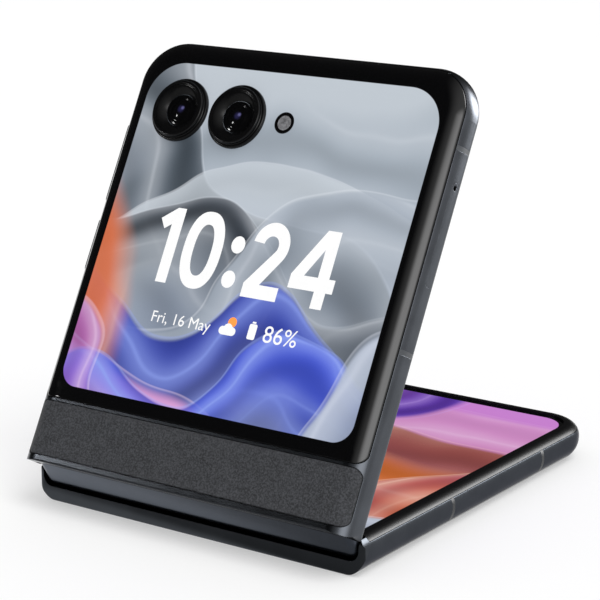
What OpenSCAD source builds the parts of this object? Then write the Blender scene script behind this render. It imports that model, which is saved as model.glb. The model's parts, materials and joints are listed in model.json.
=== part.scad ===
// Foldable smartphone: two halves that close on each other like a clamshell.
// A spine with two parallel fold axes joins them, and one flexible display lies across both.
// Origin: centre of the lower half's outer face, which rests on the table.
// X runs along the fold, Y from the fold to the lower half's far end, and Z up.
// Each half is drawn lying flat, with y = 0 at the fold and its outer face at z = 0.

/* [Halves] */
// Width of the phone, along the fold
body_w = 74; // [68:0.5:90]
// Length of each half, from the fold to its far end
half_l = 85.65; // [70:0.05:105]
// Thickness of each half
half_t = 7.25; // [6.8:0.05:9]
// Radius of the far corners in the front view
corner_r = 9.2; // [8:0.1:13]
// Radius of the corners beside the fold in the front view
fold_corner_r = 1.2; // [0.6:0.1:1.4]
// Radius of the long edges on the outer face
face_r = 4.4; // [3:0.1:4.6]
// Radius of the long edges on the inner face
rim_r = 2.55; // [1.5:0.05:2.6]
// Radius of the outer edges beside the fold
lip_r = 0.4; // [0.2:0.05:0.6]
// Thickness of the metal frame's side walls
wall_t = 2.4; // [2.2:0.1:3]

/* [Fold] */
// Angle between the two halves
open_angle = 61.5; // [0:0.5:180]
// Distance of each fold axis from the middle plane of the open phone
axis_in = 2.25; // [2:0.05:2.6]
// Gap between each closed half and the middle plane
closed_gap = 0.25; // [0.2:0.05:0.6]
// Radius of the spine's long edges about the fold axes
spine_r = 2.3; // [2:0.05:2.5]
// Radius of the spine's rounded ends
spine_end_r = 1.9; // [1:0.1:1.95]
// Play between the spine and the halves
spine_play = 0.15; // [0.1:0.05:0.3]
// Wall of the spine's cover
spine_t = 0.45; // [0.4:0.05:0.6]
// Thickness of the frame's side cheeks beside the spine
cheek_t = 1.2; // [1.2:0.1:1.4]
// Distance from the middle plane to where the display starts to bend
fold_reach = 6; // [5:0.5:8]

/* [Covers] */
// Thickness of the cover glass and of the back cover
glass_t = 0.8; // [0.6:0.05:1]
// Angle round the long edge at which the covers end
cover_wrap = 52; // [30:1:60]
// Gap round the covers
cover_gap = 0.1; // [0.05:0.05:0.2]
// Width of the metal lip between the fold and the first cover
lip_w = 1.35; // [1:0.05:2]
// Height of the soft strip beside the fold
strip_h = 10.35; // [8:0.05:14]
// Radius of the strip's corners
strip_r = 1.6; // [1:0.1:3]
// Width of the metal bridge between the strip and the cover glass
bridge_w = 0.55; // [0.4:0.05:1]
// Radius of the cover glass's lower corners
glass_corner_r = 2; // [1.2:0.1:3]

/* [Inner side] */
// Thickness of the flexible display
display_t = 0.5; // [0.4:0.05:0.6]
// Depth of the display under the inner rim's top
display_drop = 0.4; // [0.3:0.05:0.6]
// Distance from the side to the inner rim
rim_in = 0.5; // [0.4:0.05:2]
// Width of the inner rim
rim_w = 2.65; // [1.2:0.05:3]
// Thickness of the mid plates
mid_t = 0.8; // [0.6:0.05:1]
// Thickness of the plates that back the display
backing_t = 0.85; // [0.6:0.05:1]
// Diameter of the round opening for the inner camera
selfie_d = 3.6; // [3:0.1:4.5]

/* [Cameras] */
// Outer radius of the camera rings
ring_r = 6.25; // [5:0.05:8]
// Height of the camera rings above the cover glass
ring_h = 1.5; // [1:0.1:2]
// Distance from the side to the first camera's middle
camera_in = 13.45; // [12:0.05:18]
// Gap between the two camera rings
camera_gap = 0.8; // [0.3:0.05:2]
// Distance from the far end to the cameras' middle
camera_down = 14.65; // [12:0.05:18]
// Radius of the flash window
flash_r = 1.5; // [1:0.1:2]
// Gap between the second camera ring and the flash
flash_gap = 2.9; // [1:0.05:6]

/* [Side features] */
// Length of the card tray's outer plate
tray_l = 19.3; // [16:0.1:22]
// Height of the card tray's outer plate
tray_h = 1.6; // [1.4:0.1:1.8]
// Distance from the far end to the tray's middle
tray_down = 30.2; // [28:0.1:34]
// Length of the volume key
volume_l = 16; // [12:0.5:18]
// Distance from the far end to the volume key's middle
volume_down = 25.65; // [25:0.1:28]
// Length of the power key
power_l = 10.5; // [8:0.5:12]
// Distance from the far end to the power key's middle
power_down = 42.4; // [40.5:0.1:46]
// Height of both keys across the side
key_h = 1.5; // [1.2:0.1:1.8]
// How far the keys stand out of the side
key_proud = 0.3; // [0.2:0.05:0.6]
// How far a key travels when it is pressed
key_travel = 0.25; // [0.15:0.05:0.3]
// Width of the plastic breaks in the metal frames
break_w = 0.9; // [0.6:0.1:1.5]
// Distances from the far end to the upper half's breaks
upper_break_down = [14.65, 52.25]; // [12:0.05:60]
// Distances from the far end to the lower half's breaks
lower_break_down = [21.85, 55.55]; // [12:0.05:60]

/* [Connector] */
// Width of the connector's opening
usb_w = 8.34; // [8.34:0.01:8.4]
// Height of the connector's opening
usb_h = 2.56; // [2.56:0.01:2.6]
// Wall of the connector's shell
usb_wall = 0.3; // [0.25:0.01:0.35]
// Length of the connector
usb_l = 6.8; // [6:0.1:8]
// Distance of the back cover's far edge from the end with the connector
lower_cover_in = 3.3; // [3:0.1:5]

/* [Hidden] */
$fn = 96;
over = 1;
contact_gap = 0.05;
inlay_gap = 0.02;
half_w = body_w / 2;
fold_turn = (180 - open_angle) / 2;
axis_h = half_t + closed_gap - axis_in;
fold_gap = spine_play;

// Radius of the outer long edges, kept inside the thickness
edge_flat = 0.2;
face_edge = min(face_r, half_t - rim_r - edge_flat);

// Heights inside each half
display_z = half_t - display_drop;
panel_z = display_z - display_t;
backing_z = panel_z - contact_gap - backing_t;
mid_z = backing_z - contact_gap - mid_t;
bay_z = glass_t + contact_gap;
bay_top = mid_z - contact_gap;
rim_z = backing_z + contact_gap * 2;
panel_in = rim_in + rim_w + contact_gap;
rim_corner_r = 0.25;
panel_corner_r = 0.2;
bay_corner_r = 0.6;

// Spine and hinge
spine_half = half_w - cheek_t - spine_play;
spine_top = axis_h + 0.1;
cover_edge_angle = 25;
cover_top = axis_h - spine_r * sin(cover_edge_angle);
seat_wall = 0.95;
seat_l = axis_in + spine_r + spine_play + seat_wall;
rim_start = axis_in + spine_play + 0.1;
fold_steps = 20;
rail_r = 1.0;
rail_t = 0.4;
rail_play = 0.1;
rail_start = -100;
rail_sweep = 90;
arm_w = 8;
arm_t = 0.5;
arm_end = seat_l + 3.4;
arm_start = axis_in + rail_r + 0.1;
arm_seat_t = 1.2;
arm_seat_edge = 1;
arm_seat_join = 0.1;
arm_screw_y = arm_end - 2;
arm_screw_x = arm_w / 4;
arm_screw_r = 0.7;
screw_depth = 1;
screw_head_r = 1.15;
screw_head_h = 0.3;
lower_arm_x = [-0.6 * half_w, 0.6 * half_w];
upper_arm_x = [-0.27 * half_w, 0.27 * half_w];

// Covers
cover_in = face_edge * (1 - sin(cover_wrap));
cover_edge_z = face_edge * (1 - cos(cover_wrap)) + 0.65;
strip_start = lip_w + fold_gap;
strip_end = strip_start + strip_h;
glass_start = strip_end + bridge_w + 2 * cover_gap;
shelf_end = glass_start + 1.7;
shelf_z = glass_t + 1;
strip_t = 0.6;

// Cameras
outer_camera = [-half_w + camera_in, half_l - camera_down];
inner_camera = [outer_camera[0] + 2 * ring_r + camera_gap, outer_camera[1]];
flash_place = [inner_camera[0] + ring_r + flash_gap + flash_r, inner_camera[1]];
ring_round = 0.35;
ring_top_r = ring_r - 0.65;
flange_h = 0.7;
recess_r = ring_r - 1.4;
recess_drop = 0.2;
recess_step = 0.2;
window_r = ring_r / 2;
window_drop = ring_h - 0.1;
window_t = 0.45;
window_lip = 0.55;
dome_edge_r = window_r - 0.8;
dome_h = 0.3;
stem_r = ring_r - 0.9;
barrel_r = ring_r - 2.5;
barrel_depth = 1.2;
module_w = 2 * barrel_r + 1.6;
module_r = 0.8;
flash_stem_r = flash_r - 0.25;
flash_stem_l = 0.4;
led_w = 2.4;
led_t = 0.7;
selfie_place = [0, half_l - 6.4];
selfie_gap = 0.15;
selfie_r = selfie_d / 2 - 0.1;
selfie_w = 5.2;
selfie_depth = 1.9;

// Cover display under the glass
screen_in = face_edge - contact_gap;
screen_top_in = 5.2;
screen_up = 2.75;
screen_t = 1;
screen_r = 7.6;
screen_low_r = 3.8;
screen_gap = 0.3;

// Card tray
tray_y = half_l - tray_down;
tray_z = bay_top - tray_h / 2 - contact_gap;
tray_plate_z = tray_z + 0.25;
carrier_w = 14.6;
carrier_l = 22;
carrier_t = 0.95;
plate_depth = 2.1;
carrier_end = half_w - plate_depth - carrier_l;
card_l = 12.3;
card_w = 8.8;
card_floor = 0.25;
card_x = carrier_end + 3;
pin_r = 0.45;
pin_sink = 0.15;
pin_in = tray_h / 2 + 0.2;
socket_in = wall_t + 0.4;
socket_end = half_w - wall_t - carrier_l - 0.9;
socket_wall = 0.55;
socket_gap = 0.15;
socket_floor = 0.38;
socket_under = 0.12;

// Keys
key_z = bay_top - key_h / 2 - 0.1;
key_gap = 0.12;
flange_grow = 0.35;
flange_t = 0.5;
key_flange_h = key_h + 0.1;
flange_x = -half_w + wall_t + contact_gap;
volume_y = half_l - volume_down;
power_y = half_l - power_down;
switch_x = flange_x + flange_t + key_travel + contact_gap;
switch_r = 0.7;
switch_t = 0.25;
switch_board_t = 0.15;
switch_board_h = 1.6;

// Boards and batteries
board_t = 0.8;
board_in = wall_t + 1.1;
board_z = bay_top - board_t - contact_gap;
board_under = board_z - contact_gap;
board_edge = 0.6;
board_far = half_l - wall_t - 5;
board_left_far = outer_camera[1] - module_w / 2 - board_edge;
board_right_near = tray_y + carrier_w / 2 + 1.3;
board_join = 2;
board_neck_in = 1.5;
battery_in = wall_t + 2.2;
battery_r = 1.5;
battery_margin = 1;
lower_battery_near = arm_end + 1;
upper_battery_near = arm_end + 5.5;
screen_top = bay_z + screen_t + contact_gap;

// Lower half's end
lower_cover_end = half_l - lower_cover_in;
usb_z = half_t / 2 - 0.1;
usb_recess = 0.8;
usb_tongue_w = 6.69;
usb_tongue_t = 0.7;
usb_tongue_in = 0.9;
usb_notch_x = usb_w / 2 + 0.6;
usb_notch_y = half_l - usb_recess - usb_l - 0.2;
speaker_slots = 5;
speaker_pitch = 2.8;
speaker_x = 15;
speaker_start = speaker_x - 3;
speaker_r = 1;
slot_w = 1.1;
slot_l = 2.2;
speaker_w = 16;
speaker_l = 15;
speaker_far = half_l - wall_t - 0.6;
speaker_z = bay_z + 0.25;
mic_x = -14;
mic_r = 0.5;
mic_w = 3.5;
mic_l = 2.6;
mic_t = 1.6;
mic_far = half_l - wall_t - 0.1;
sub_board_l = 17;
sub_board_in = board_in + 4;
sub_board_far = half_l - wall_t - 1;
sub_board_r = 2;
lower_battery_far = sub_board_far - sub_board_l - 3.2;
motor_w = 11;
motor_l = 9;
motor_r = 1.5;
motor_x = -half_w + board_in + 5;
motor_near = half_l - wall_t - 14;

// Earpiece and second microphone
earpiece_x = [8, 26];
earpiece_near = half_l - 13.5;
earpiece_far = half_l - wall_t - 0.3;
earpiece_slot_l = 9;
earpiece_slot_w = 0.5;
earpiece_slot_in = rim_in + rim_w / 2;
top_mic_x = -11;

// Soft bumpers on the upper half's inner rim
bumper_r = 0.55;
bumper_seat = 0.35;
bumper_proud = 0.12;
bumper_x = half_w - rim_in - rim_w / 2;
bumper_ys = [22, half_l - 18];

// Placement of the three bodies
module on_lower() {
    translate([0, -half_l / 2, 0]) children();
}
module on_spine() {
    on_lower()
        translate([0, axis_in, axis_h])
        rotate([-fold_turn, 0, 0])
        translate([0, -axis_in, -axis_h])
        children();
}
module on_upper() {
    on_spine()
        translate([0, -axis_in, axis_h])
        rotate([-fold_turn, 0, 0])
        translate([0, axis_in, -axis_h])
        mirror([0, 1, 0])
        children();
}

// A quarter disc in the first quadrant
module quarter(r) {
    intersection() {
        circle(r);
        square(r);
    }
}
// Rounded rectangle from y0 to y1, with its own radii at the fold end and the far end
module outline(half_width, y0, y1, near_r, far_r) {
    translate([-half_width, y0 + near_r]) square([2 * half_width, y1 - y0 - near_r - far_r]);
    translate([-half_width + near_r, y0]) square([2 * (half_width - near_r), near_r + 0.01]);
    translate([-half_width + far_r, y1 - far_r - 0.01]) square([2 * (half_width - far_r), far_r + 0.01]);
    for (side = [-1, 1]) {
        translate([side * (half_width - near_r), y0 + near_r]) circle(near_r);
        translate([side * (half_width - far_r), y1 - far_r]) circle(far_r);
    }
}
// Bar with round ends, centred
module round_bar(length, width) {
    square([length - width, width], center = true);
    for (side = [-1, 1]) translate([side * (length - width) / 2, 0]) circle(width / 2);
}
// Upright prism on the half's outline, drawn in by inset from the sides and the far end
module inset_prism(inset, y0, near_r, z0, z1) {
    translate([0, 0, z0])
        linear_extrude(z1 - z0)
        outline(half_w - inset, y0, half_l - inset, near_r, corner_r - inset);
}
module block(x0, x1, y0, y1, z0, z1) {
    translate([x0, y0, z0]) cube([x1 - x0, y1 - y0, z1 - z0]);
}
// Block with upright rounded edges
module soft_block(x0, x1, y0, y1, z0, z1, r) {
    translate([(x0 + x1) / 2, 0, z0])
        linear_extrude(z1 - z0)
        outline((x1 - x0) / 2, y0, y1, r, r);
}
// Section across one long edge: it reaches outwards along x, with both outer corners rounded
module edge_section(reach, low_r, high_r, t) {
    square([reach - low_r, t]);
    translate([0, low_r]) square([reach, t - low_r - high_r]);
    translate([0, low_r]) square([reach - high_r, t - low_r]);
    translate([reach - low_r, low_r]) mirror([0, 1]) quarter(low_r);
    translate([reach - high_r, t - high_r]) quarter(high_r);
}
// Whole form of a half, drawn in by inset on every side
module half_form(inset, start) {
    far = half_l - corner_r;
    reach = corner_r - inset;
    low_r = face_edge - inset;
    high_r = rim_r - inset;
    t = half_t - 2 * inset;
    translate([0, 0, inset]) {
        translate([0, far, 0])
            rotate([90, 0, 0])
            linear_extrude(far - start)
            for (side = [0, 1]) mirror([side, 0]) edge_section(half_w - inset, low_r, high_r, t);
        for (side = [0, 1])
            mirror([side, 0, 0])
            translate([half_w - corner_r, far, 0])
            rotate_extrude(angle = 90)
            edge_section(reach, low_r, high_r, t);
        translate([-(half_w - corner_r), far, 0])
            rotate([90, 0, 90])
            linear_extrude(2 * (half_w - corner_r))
            edge_section(reach, low_r, high_r, t);
    }
}
// Rod along X at a fold axis, with rounded ends
module spine_rod_section(r, half_len, end_r) {
    translate([0, -half_len]) square([r - end_r, 2 * half_len]);
    translate([0, end_r - half_len]) square([r, 2 * (half_len - end_r)]);
    for (side = [0, 1])
        mirror([0, side])
        translate([r - end_r, half_len - end_r])
        quarter(end_r);
}
// The spine's outer form between and round both fold axes
module spine_form(r, half_len, end_r, top) {
    intersection() {
        union() {
            for (side = [-1, 1])
                translate([0, side * axis_in, axis_h])
                rotate([0, 90, 0])
                rotate_extrude()
                spine_rod_section(r, half_len, end_r);
            translate([0, axis_in, axis_h])
                rotate([90, 0, 0])
                linear_extrude(2 * axis_in) {
                    rotate([0, 0, 90]) spine_rod_section(r, half_len, end_r);
                    rotate([0, 0, -90]) spine_rod_section(r, half_len, end_r);
                }
        }
        block(-body_w, body_w, -2 * axis_in - r, 2 * axis_in + r, axis_h - r - over, top);
    }
}
// Room that the turning spine needs in a half
module spine_room() {
    spine_form(spine_r + spine_play, spine_half + spine_play, spine_end_r + spine_play, axis_h + over);
    block(-spine_half - spine_play, spine_half + spine_play, -over, seat_l, mid_z, half_t + over);
}
// What a half leaves free so that it can turn past the other half
module turning_room() {
    difference() {
        block(-body_w, body_w, -over, axis_in, axis_h, half_t + over);
        translate([-body_w, axis_in, axis_h])
            rotate([0, 90, 0])
            cylinder(r = axis_in - fold_gap, h = 2 * body_w);
    }
}
module fold_corner_cuts() {
    for (side = [0, 1])
        mirror([side, 0, 0])
        difference() {
            block(half_w - fold_corner_r, half_w + over, -over, fold_gap + fold_corner_r,
                -over, half_t + over);
            translate([half_w - fold_corner_r, fold_gap + fold_corner_r, -2 * over])
                cylinder(r = fold_corner_r, h = half_t + 4 * over);
        }
}
// Rounds the outer edge beside the fold
module lip_cut() {
    difference() {
        block(-body_w, body_w, -over, fold_gap + lip_r, -over, lip_r);
        translate([-body_w - over, fold_gap + lip_r, lip_r])
            rotate([0, 90, 0])
            cylinder(r = lip_r, h = 2 * (body_w + over));
    }
}
// Room for the inner rim and all that lies within it
module rim_room() {
    inset_prism(rim_in - contact_gap, rim_start - contact_gap, rim_corner_r + contact_gap,
        rim_z - contact_gap, half_t + over);
}
// Frame shared by both halves
module half_frame(breaks) {
    difference() {
        half_form(0, fold_gap);
        fold_corner_cuts();
        lip_cut();
        turning_room();
        spine_room();
        rim_room();
        break_blocks(breaks, cover_gap);
    }
}
// Places of the plastic breaks in both side walls
module break_blocks(breaks, gap) {
    for (down = breaks)
        for (side = [0, 1])
        mirror([side, 0, 0])
        block(half_w - cover_in + gap, half_w + over,
            half_l - down - break_w / 2, half_l - down + break_w / 2, -over, half_t + over);
}
module break_inlays(breaks) {
    difference() {
        intersection() {
            half_form(0, fold_gap);
            break_blocks(breaks, cover_gap + inlay_gap);
        }
        rim_room();
    }
}
// A thin cover that follows the outer face and wraps round its long edges
module cover_skin(t, y0, y1, near_r, far_r, grow) {
    intersection() {
        difference() {
            half_form(0, fold_gap);
            half_form(t + grow, -over);
        }
        translate([0, 0, -over])
            linear_extrude(over + cover_edge_z + grow)
            outline(half_w - cover_in + grow, y0 - grow, y1 + grow, near_r + grow, far_r + grow);
    }
}
module inner_rim() {
    difference() {
        intersection() {
            half_form(0, fold_gap);
            inset_prism(rim_in, rim_start, rim_corner_r, rim_z, half_t + over);
        }
        inset_prism(rim_in + rim_w, -over, rim_corner_r, 0, half_t + 2 * over);
        turning_room();
    }
}
module display_panel() {
    inset_prism(panel_in, fold_reach, panel_corner_r, panel_z, display_z);
}
module display_backing() {
    inset_prism(panel_in, fold_reach + contact_gap, panel_corner_r, backing_z, backing_z + backing_t);
}
module mid_plate(arms) {
    difference() {
        inset_prism(wall_t + contact_gap, seat_l + contact_gap, bay_corner_r, mid_z, mid_z + mid_t);
        for (x = arms)
            block(x - arm_w / 2 - contact_gap, x + arm_w / 2 + contact_gap, 0, arm_end + contact_gap,
                mid_z - over, mid_z + mid_t + over);
    }
}
// Section of a swing arm: an arc rail about the fold axis, and a flat bar
module arm_section() {
    intersection() {
        difference() {
            circle(rail_r + rail_t);
            circle(rail_r);
        }
        rotate([0, 0, rail_start]) square(axis_in);
    }
    translate([arm_start - axis_in, mid_z - axis_h]) square([arm_end - arm_start, arm_t]);
}
module arm_screw_places(arms) {
    for (x = arms)
        for (side = [-1, 1])
        translate([x + side * arm_screw_x, arm_screw_y, 0])
        children();
}
module swing_arms(arms) {
    difference() {
        for (x = arms)
            translate([x - arm_w / 2, axis_in, axis_h])
            rotate([90, 0, 90])
            linear_extrude(arm_w)
            arm_section();
        arm_screw_places(arms) cylinder(r = arm_screw_r + contact_gap, h = half_t);
    }
}
module arm_screws(arms) {
    arm_screw_places(arms) {
        translate([0, 0, mid_z - screw_depth]) cylinder(r = arm_screw_r, h = screw_depth + arm_t);
        translate([0, 0, mid_z + arm_t]) cylinder(r = screw_head_r, h = screw_head_h);
    }
}
// Blocks of a frame that take the arms' screws
module arm_seats(arms) {
    difference() {
        for (x = arms)
            block(x - arm_w / 2 - arm_seat_edge, x + arm_w / 2 + arm_seat_edge, seat_l - arm_seat_join,
                arm_end, bay_top - arm_seat_t, mid_z);
        arm_screw_places(arms) cylinder(r = arm_screw_r, h = half_t);
    }
}

module usb_outline(grow) {
    round_bar(usb_w + 2 * grow, usb_h + 2 * grow);
}
module usb_notch() {
    block(-usb_notch_x, usb_notch_x, usb_notch_y, half_l, 0, half_t);
}
module microphone_hole(x) {
    translate([x, half_l + over, usb_z])
        rotate([90, 0, 0])
        cylinder(r = mic_r, h = wall_t + 2 * over);
}
module end_openings() {
    translate([0, half_l + over, usb_z])
        rotate([90, 0, 0])
        linear_extrude(wall_t + 2 * over)
        usb_outline(usb_wall + contact_gap);
    for (i = [0:speaker_slots - 1])
        translate([speaker_x + i * speaker_pitch, half_l + over, usb_z])
        rotate([90, 0, 0])
        linear_extrude(wall_t + 2 * over)
        round_bar(slot_l, slot_w);
    microphone_hole(mic_x);
}
module lower_frame() {
    color("#3d4247")
    on_lower() {
        difference() {
            half_frame(lower_break_down);
            inset_prism(wall_t, seat_l, bay_corner_r, -over, half_t + over);
            cover_skin(glass_t, strip_start, lower_cover_end, glass_corner_r, corner_r - cover_in, cover_gap);
            end_openings();
        }
        arm_seats(lower_arm_x);
    }
}
module lower_break_inlays() {
    color("#52575c") on_lower() break_inlays(lower_break_down);
}
module lower_back_cover() {
    color("#3b3e42")
    on_lower()
        cover_skin(glass_t, strip_start, lower_cover_end, glass_corner_r, corner_r - cover_in, 0);
}
module lower_inner_rim() {
    color("#141516") on_lower() inner_rim();
}
module lower_display_panel() {
    color("#9a6fb0") on_lower() display_panel();
}
module lower_display_backing() {
    color("#8b8f93") on_lower() display_backing();
}
module lower_mid_plate() {
    color("#6f747a")
    on_lower()
        difference() {
            mid_plate(lower_arm_x);
            usb_notch();
        }
}
module lower_battery() {
    color("#202226")
    on_lower()
        soft_block(-half_w + battery_in, half_w - battery_in, lower_battery_near, lower_battery_far,
            bay_z + contact_gap, bay_top - contact_gap, battery_r);
}
module sub_board() {
    color("#1f5a3c")
    on_lower()
        difference() {
            soft_block(-half_w + sub_board_in, half_w - sub_board_in, sub_board_far - sub_board_l,
                sub_board_far, board_z, board_z + board_t, sub_board_r);
            usb_notch();
        }
}
module usb_c_socket() {
    color("#a9adb2")
    on_lower()
        translate([0, half_l - usb_recess, usb_z])
        rotate([90, 0, 0]) {
            difference() {
                linear_extrude(usb_l) usb_outline(usb_wall);
                translate([0, 0, -over]) linear_extrude(usb_l + over - usb_wall) usb_outline(0);
            }
            translate([-usb_tongue_w / 2, -usb_tongue_t / 2, usb_tongue_in])
                cube([usb_tongue_w, usb_tongue_t, usb_l - usb_tongue_in - usb_wall / 2]);
        }
}
module loudspeaker() {
    color("#2c2e31")
    on_lower()
        soft_block(speaker_start, speaker_start + speaker_w, speaker_far - speaker_l, speaker_far,
            speaker_z, board_under, speaker_r);
}
module bottom_microphone() {
    color("#c9b46a")
    on_lower()
        block(mic_x - mic_w / 2, mic_x + mic_w / 2, mic_far - mic_l, mic_far,
            board_under - mic_t, board_under);
}
module vibration_motor() {
    color("#b8bcc1")
    on_lower()
        soft_block(motor_x, motor_x + motor_w, motor_near, motor_near + motor_l, bay_z + contact_gap,
            board_under, motor_r);
}
module lower_swing_arms() {
    color("#8d9298") on_lower() swing_arms(lower_arm_x);
}
module lower_arm_screws() {
    color("#c8ccd0") on_lower() arm_screws(lower_arm_x);
}

module spine_cover() {
    color("#585c63")
    on_spine()
        intersection() {
            difference() {
                spine_form(spine_r, spine_half, spine_end_r, spine_top);
                spine_form(spine_r - spine_t, spine_half - spine_t, spine_end_r - spine_t, spine_top + over);
            }
            block(-body_w, body_w, -body_w, body_w, 0, cover_top);
        }
}
// Groove in the hinge base in which one body's arc rails turn
module rail_grooves(arms, side) {
    for (x = arms)
        translate([x - arm_w / 2 - rail_play, side * axis_in, axis_h])
        rotate([90, 0, 90])
        difference() {
            union() {
                cylinder(r = rail_r + rail_t + rail_play, h = arm_w + 2 * rail_play);
                translate([side > 0 ? 0 : -2 * spine_r, mid_z - axis_h - rail_play, 0])
                    cube([2 * spine_r, 2 * spine_r, arm_w + 2 * rail_play]);
            }
            translate([0, 0, -over]) cylinder(r = rail_r - rail_play, h = arm_w + 2 * over + 2 * rail_play);
        }
}
module hinge_base() {
    color("#74797f")
    on_spine()
        difference() {
            spine_form(spine_r - spine_t - contact_gap, spine_half - spine_t - contact_gap,
                spine_end_r - spine_t - contact_gap, spine_top);
            rail_grooves(lower_arm_x, 1);
            rail_grooves(upper_arm_x, -1);
        }
}
// How much of the spine's turn the display has taken up at distance y from the middle plane
function bend_share(y) = let (t = 1 - y / fold_reach) t * t * (3 - 2 * t);
// Section point of the bent display, in the spine's frame
function fold_point(y, z) =
    let (turn = (1 - bend_share(abs(y))) * fold_turn, dy = abs(y) - axis_in, dz = z - axis_h)
    [sign(y) * (axis_in + dy * cos(turn) - dz * sin(turn)), axis_h + dy * sin(turn) + dz * cos(turn)];
fold_ys = [for (i = [-fold_steps:fold_steps]) (i == 0 ? 0.001 : i * fold_reach / fold_steps)];
module display_fold() {
    front = [for (y = fold_ys) fold_point(y, display_z)];
    back = [for (i = [len(fold_ys) - 1:-1:0]) fold_point(fold_ys[i], panel_z)];
    color("#8c6aa8")
    on_spine()
        translate([-half_w + panel_in, 0, 0])
        rotate([90, 0, 90])
        linear_extrude(2 * (half_w - panel_in))
        polygon(concat(front, back));
}

module tray_slot(grow, depth) {
    translate([half_w - depth, tray_y, tray_plate_z])
        rotate([90, 0, 90])
        linear_extrude(depth + over)
        round_bar(tray_l + 2 * grow, tray_h + 2 * grow);
}
// Round-ended bar across the side wall, for a key or its slot
module key_bar(y, length, h, x0, x1) {
    translate([x0, y, key_z])
        rotate([90, 0, 90])
        linear_extrude(x1 - x0)
        round_bar(length, h);
}
module key_slot(y, length) {
    key_bar(y, length + 2 * key_gap, key_h + 2 * key_gap, -half_w - over, -half_w + wall_t + over);
}
module upper_frame() {
    color("#3d4247")
    on_upper() {
        difference() {
            half_frame(upper_break_down);
            inset_prism(wall_t, shelf_end, bay_corner_r, -over, half_t + over);
            inset_prism(wall_t, seat_l, bay_corner_r, shelf_z, half_t + over);
            cover_skin(strip_t, strip_start, strip_end, strip_r, strip_r, cover_gap);
            cover_skin(glass_t, glass_start, half_l - cover_in, glass_corner_r, corner_r - cover_in,
                cover_gap);
            tray_slot(contact_gap, wall_t + over);
            key_slot(volume_y, volume_l);
            key_slot(power_y, power_l);
            microphone_hole(top_mic_x);
        }
        arm_seats(upper_arm_x);
    }
}
module upper_break_inlays() {
    color("#52575c") on_upper() break_inlays(upper_break_down);
}
module camera_holes(r, flash_hole_r) {
    for (p = [outer_camera, inner_camera])
        translate([p[0], p[1], -over])
        cylinder(r = r, h = half_t);
    translate([flash_place[0], flash_place[1], -over]) cylinder(r = flash_hole_r, h = half_t);
}
module cover_glass() {
    color("#17181a")
    on_upper()
        difference() {
            cover_skin(glass_t, glass_start, half_l - cover_in, glass_corner_r, corner_r - cover_in, 0);
            camera_holes(stem_r + contact_gap, flash_r);
        }
}
module cover_display() {
    color("#9aa6b4")
    on_upper()
        difference() {
            translate([0, 0, bay_z])
                linear_extrude(screen_t)
                outline(half_w - screen_in, glass_start + screen_up, half_l - screen_top_in,
                    screen_low_r, screen_r);
            camera_holes(stem_r + screen_gap, flash_r + screen_gap);
        }
}
module soft_strip() {
    color("#44474b") on_upper() cover_skin(strip_t, strip_start, strip_end, strip_r, strip_r, 0);
}
// Section of a disc from z0 to z1, with its outer edge at z0 rounded
module disc_section(r, z0, z1) {
    translate([0, z0]) square([r - ring_round, z1 - z0]);
    translate([0, z0 + ring_round]) square([r, z1 - z0 - ring_round]);
    translate([r - ring_round, z0 + ring_round]) mirror([0, 1]) quarter(ring_round);
}
// Flanged ring with a tapered recess down to the window; its stem passes through the cover glass
module camera_ring(p) {
    ring_end = ring_h + glass_t;
    window_end = window_drop + window_t;
    seat_r = window_r + contact_gap;
    hole_r = window_r - window_lip;
    on_upper()
        translate([p[0], p[1], -ring_h])
        rotate_extrude()
        difference() {
            union() {
                disc_section(ring_top_r, 0, ring_h);
                disc_section(ring_r, ring_h - flange_h, ring_h);
                square([stem_r, ring_end]);
            }
            polygon([
                [0, -over], [recess_r, -over], [recess_r, recess_drop], [recess_r - recess_step, recess_drop],
                [seat_r, window_drop], [seat_r, window_end], [hole_r, window_end], [hole_r, ring_end + over],
                [0, ring_end + over]
            ]);
        }
}
// Window with a low dome on it
module camera_window(p) {
    dome_r = (dome_edge_r * dome_edge_r + dome_h * dome_h) / (2 * dome_h);
    on_upper()
        translate([p[0], p[1], window_drop - ring_h]) {
            cylinder(r = window_r, h = window_t);
            intersection() {
                translate([0, 0, dome_r - dome_h]) sphere(dome_r);
                translate([0, 0, -dome_h]) cylinder(r = window_r - contact_gap, h = dome_h + window_t / 2);
            }
        }
}
// Lens barrel on a square base
module camera_module(p) {
    barrel_z = glass_t + contact_gap;
    on_upper()
        translate([p[0], p[1], 0]) {
            translate([0, 0, barrel_z]) cylinder(r = barrel_r, h = bay_z + barrel_depth - barrel_z);
            soft_block(-module_w / 2, module_w / 2, -module_w / 2, module_w / 2, screen_top,
                bay_top - contact_gap, module_r);
        }
}
module outer_camera_ring() {
    color("#101112") camera_ring(outer_camera);
}
module inner_camera_ring() {
    color("#101112") camera_ring(inner_camera);
}
module outer_camera_window() {
    color("#1a1d2a") camera_window(outer_camera);
}
module inner_camera_window() {
    color("#1a1d2a") camera_window(inner_camera);
}
module outer_camera_module() {
    color("#26282b") camera_module(outer_camera);
}
module inner_camera_module() {
    color("#26282b") camera_module(inner_camera);
}
module flash_window() {
    color("#e9e3cf")
    on_upper()
        translate([flash_place[0], flash_place[1], 0]) {
            cylinder(r = flash_r - contact_gap, h = glass_t);
            translate([0, 0, glass_t]) cylinder(r = flash_stem_r, h = flash_stem_l);
        }
}
module flash_led() {
    color("#f1d36b")
    on_upper()
        translate([flash_place[0], flash_place[1], glass_t + flash_stem_l + contact_gap])
        translate([-led_w / 2, -led_w / 2, 0])
        cube([led_w, led_w, led_t]);
}
module bumpers(r, z0, z1) {
    for (x = [-bumper_x, bumper_x])
        for (y = bumper_ys)
        translate([x, y, z0])
        cylinder(r = r, h = z1 - z0);
}
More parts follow.
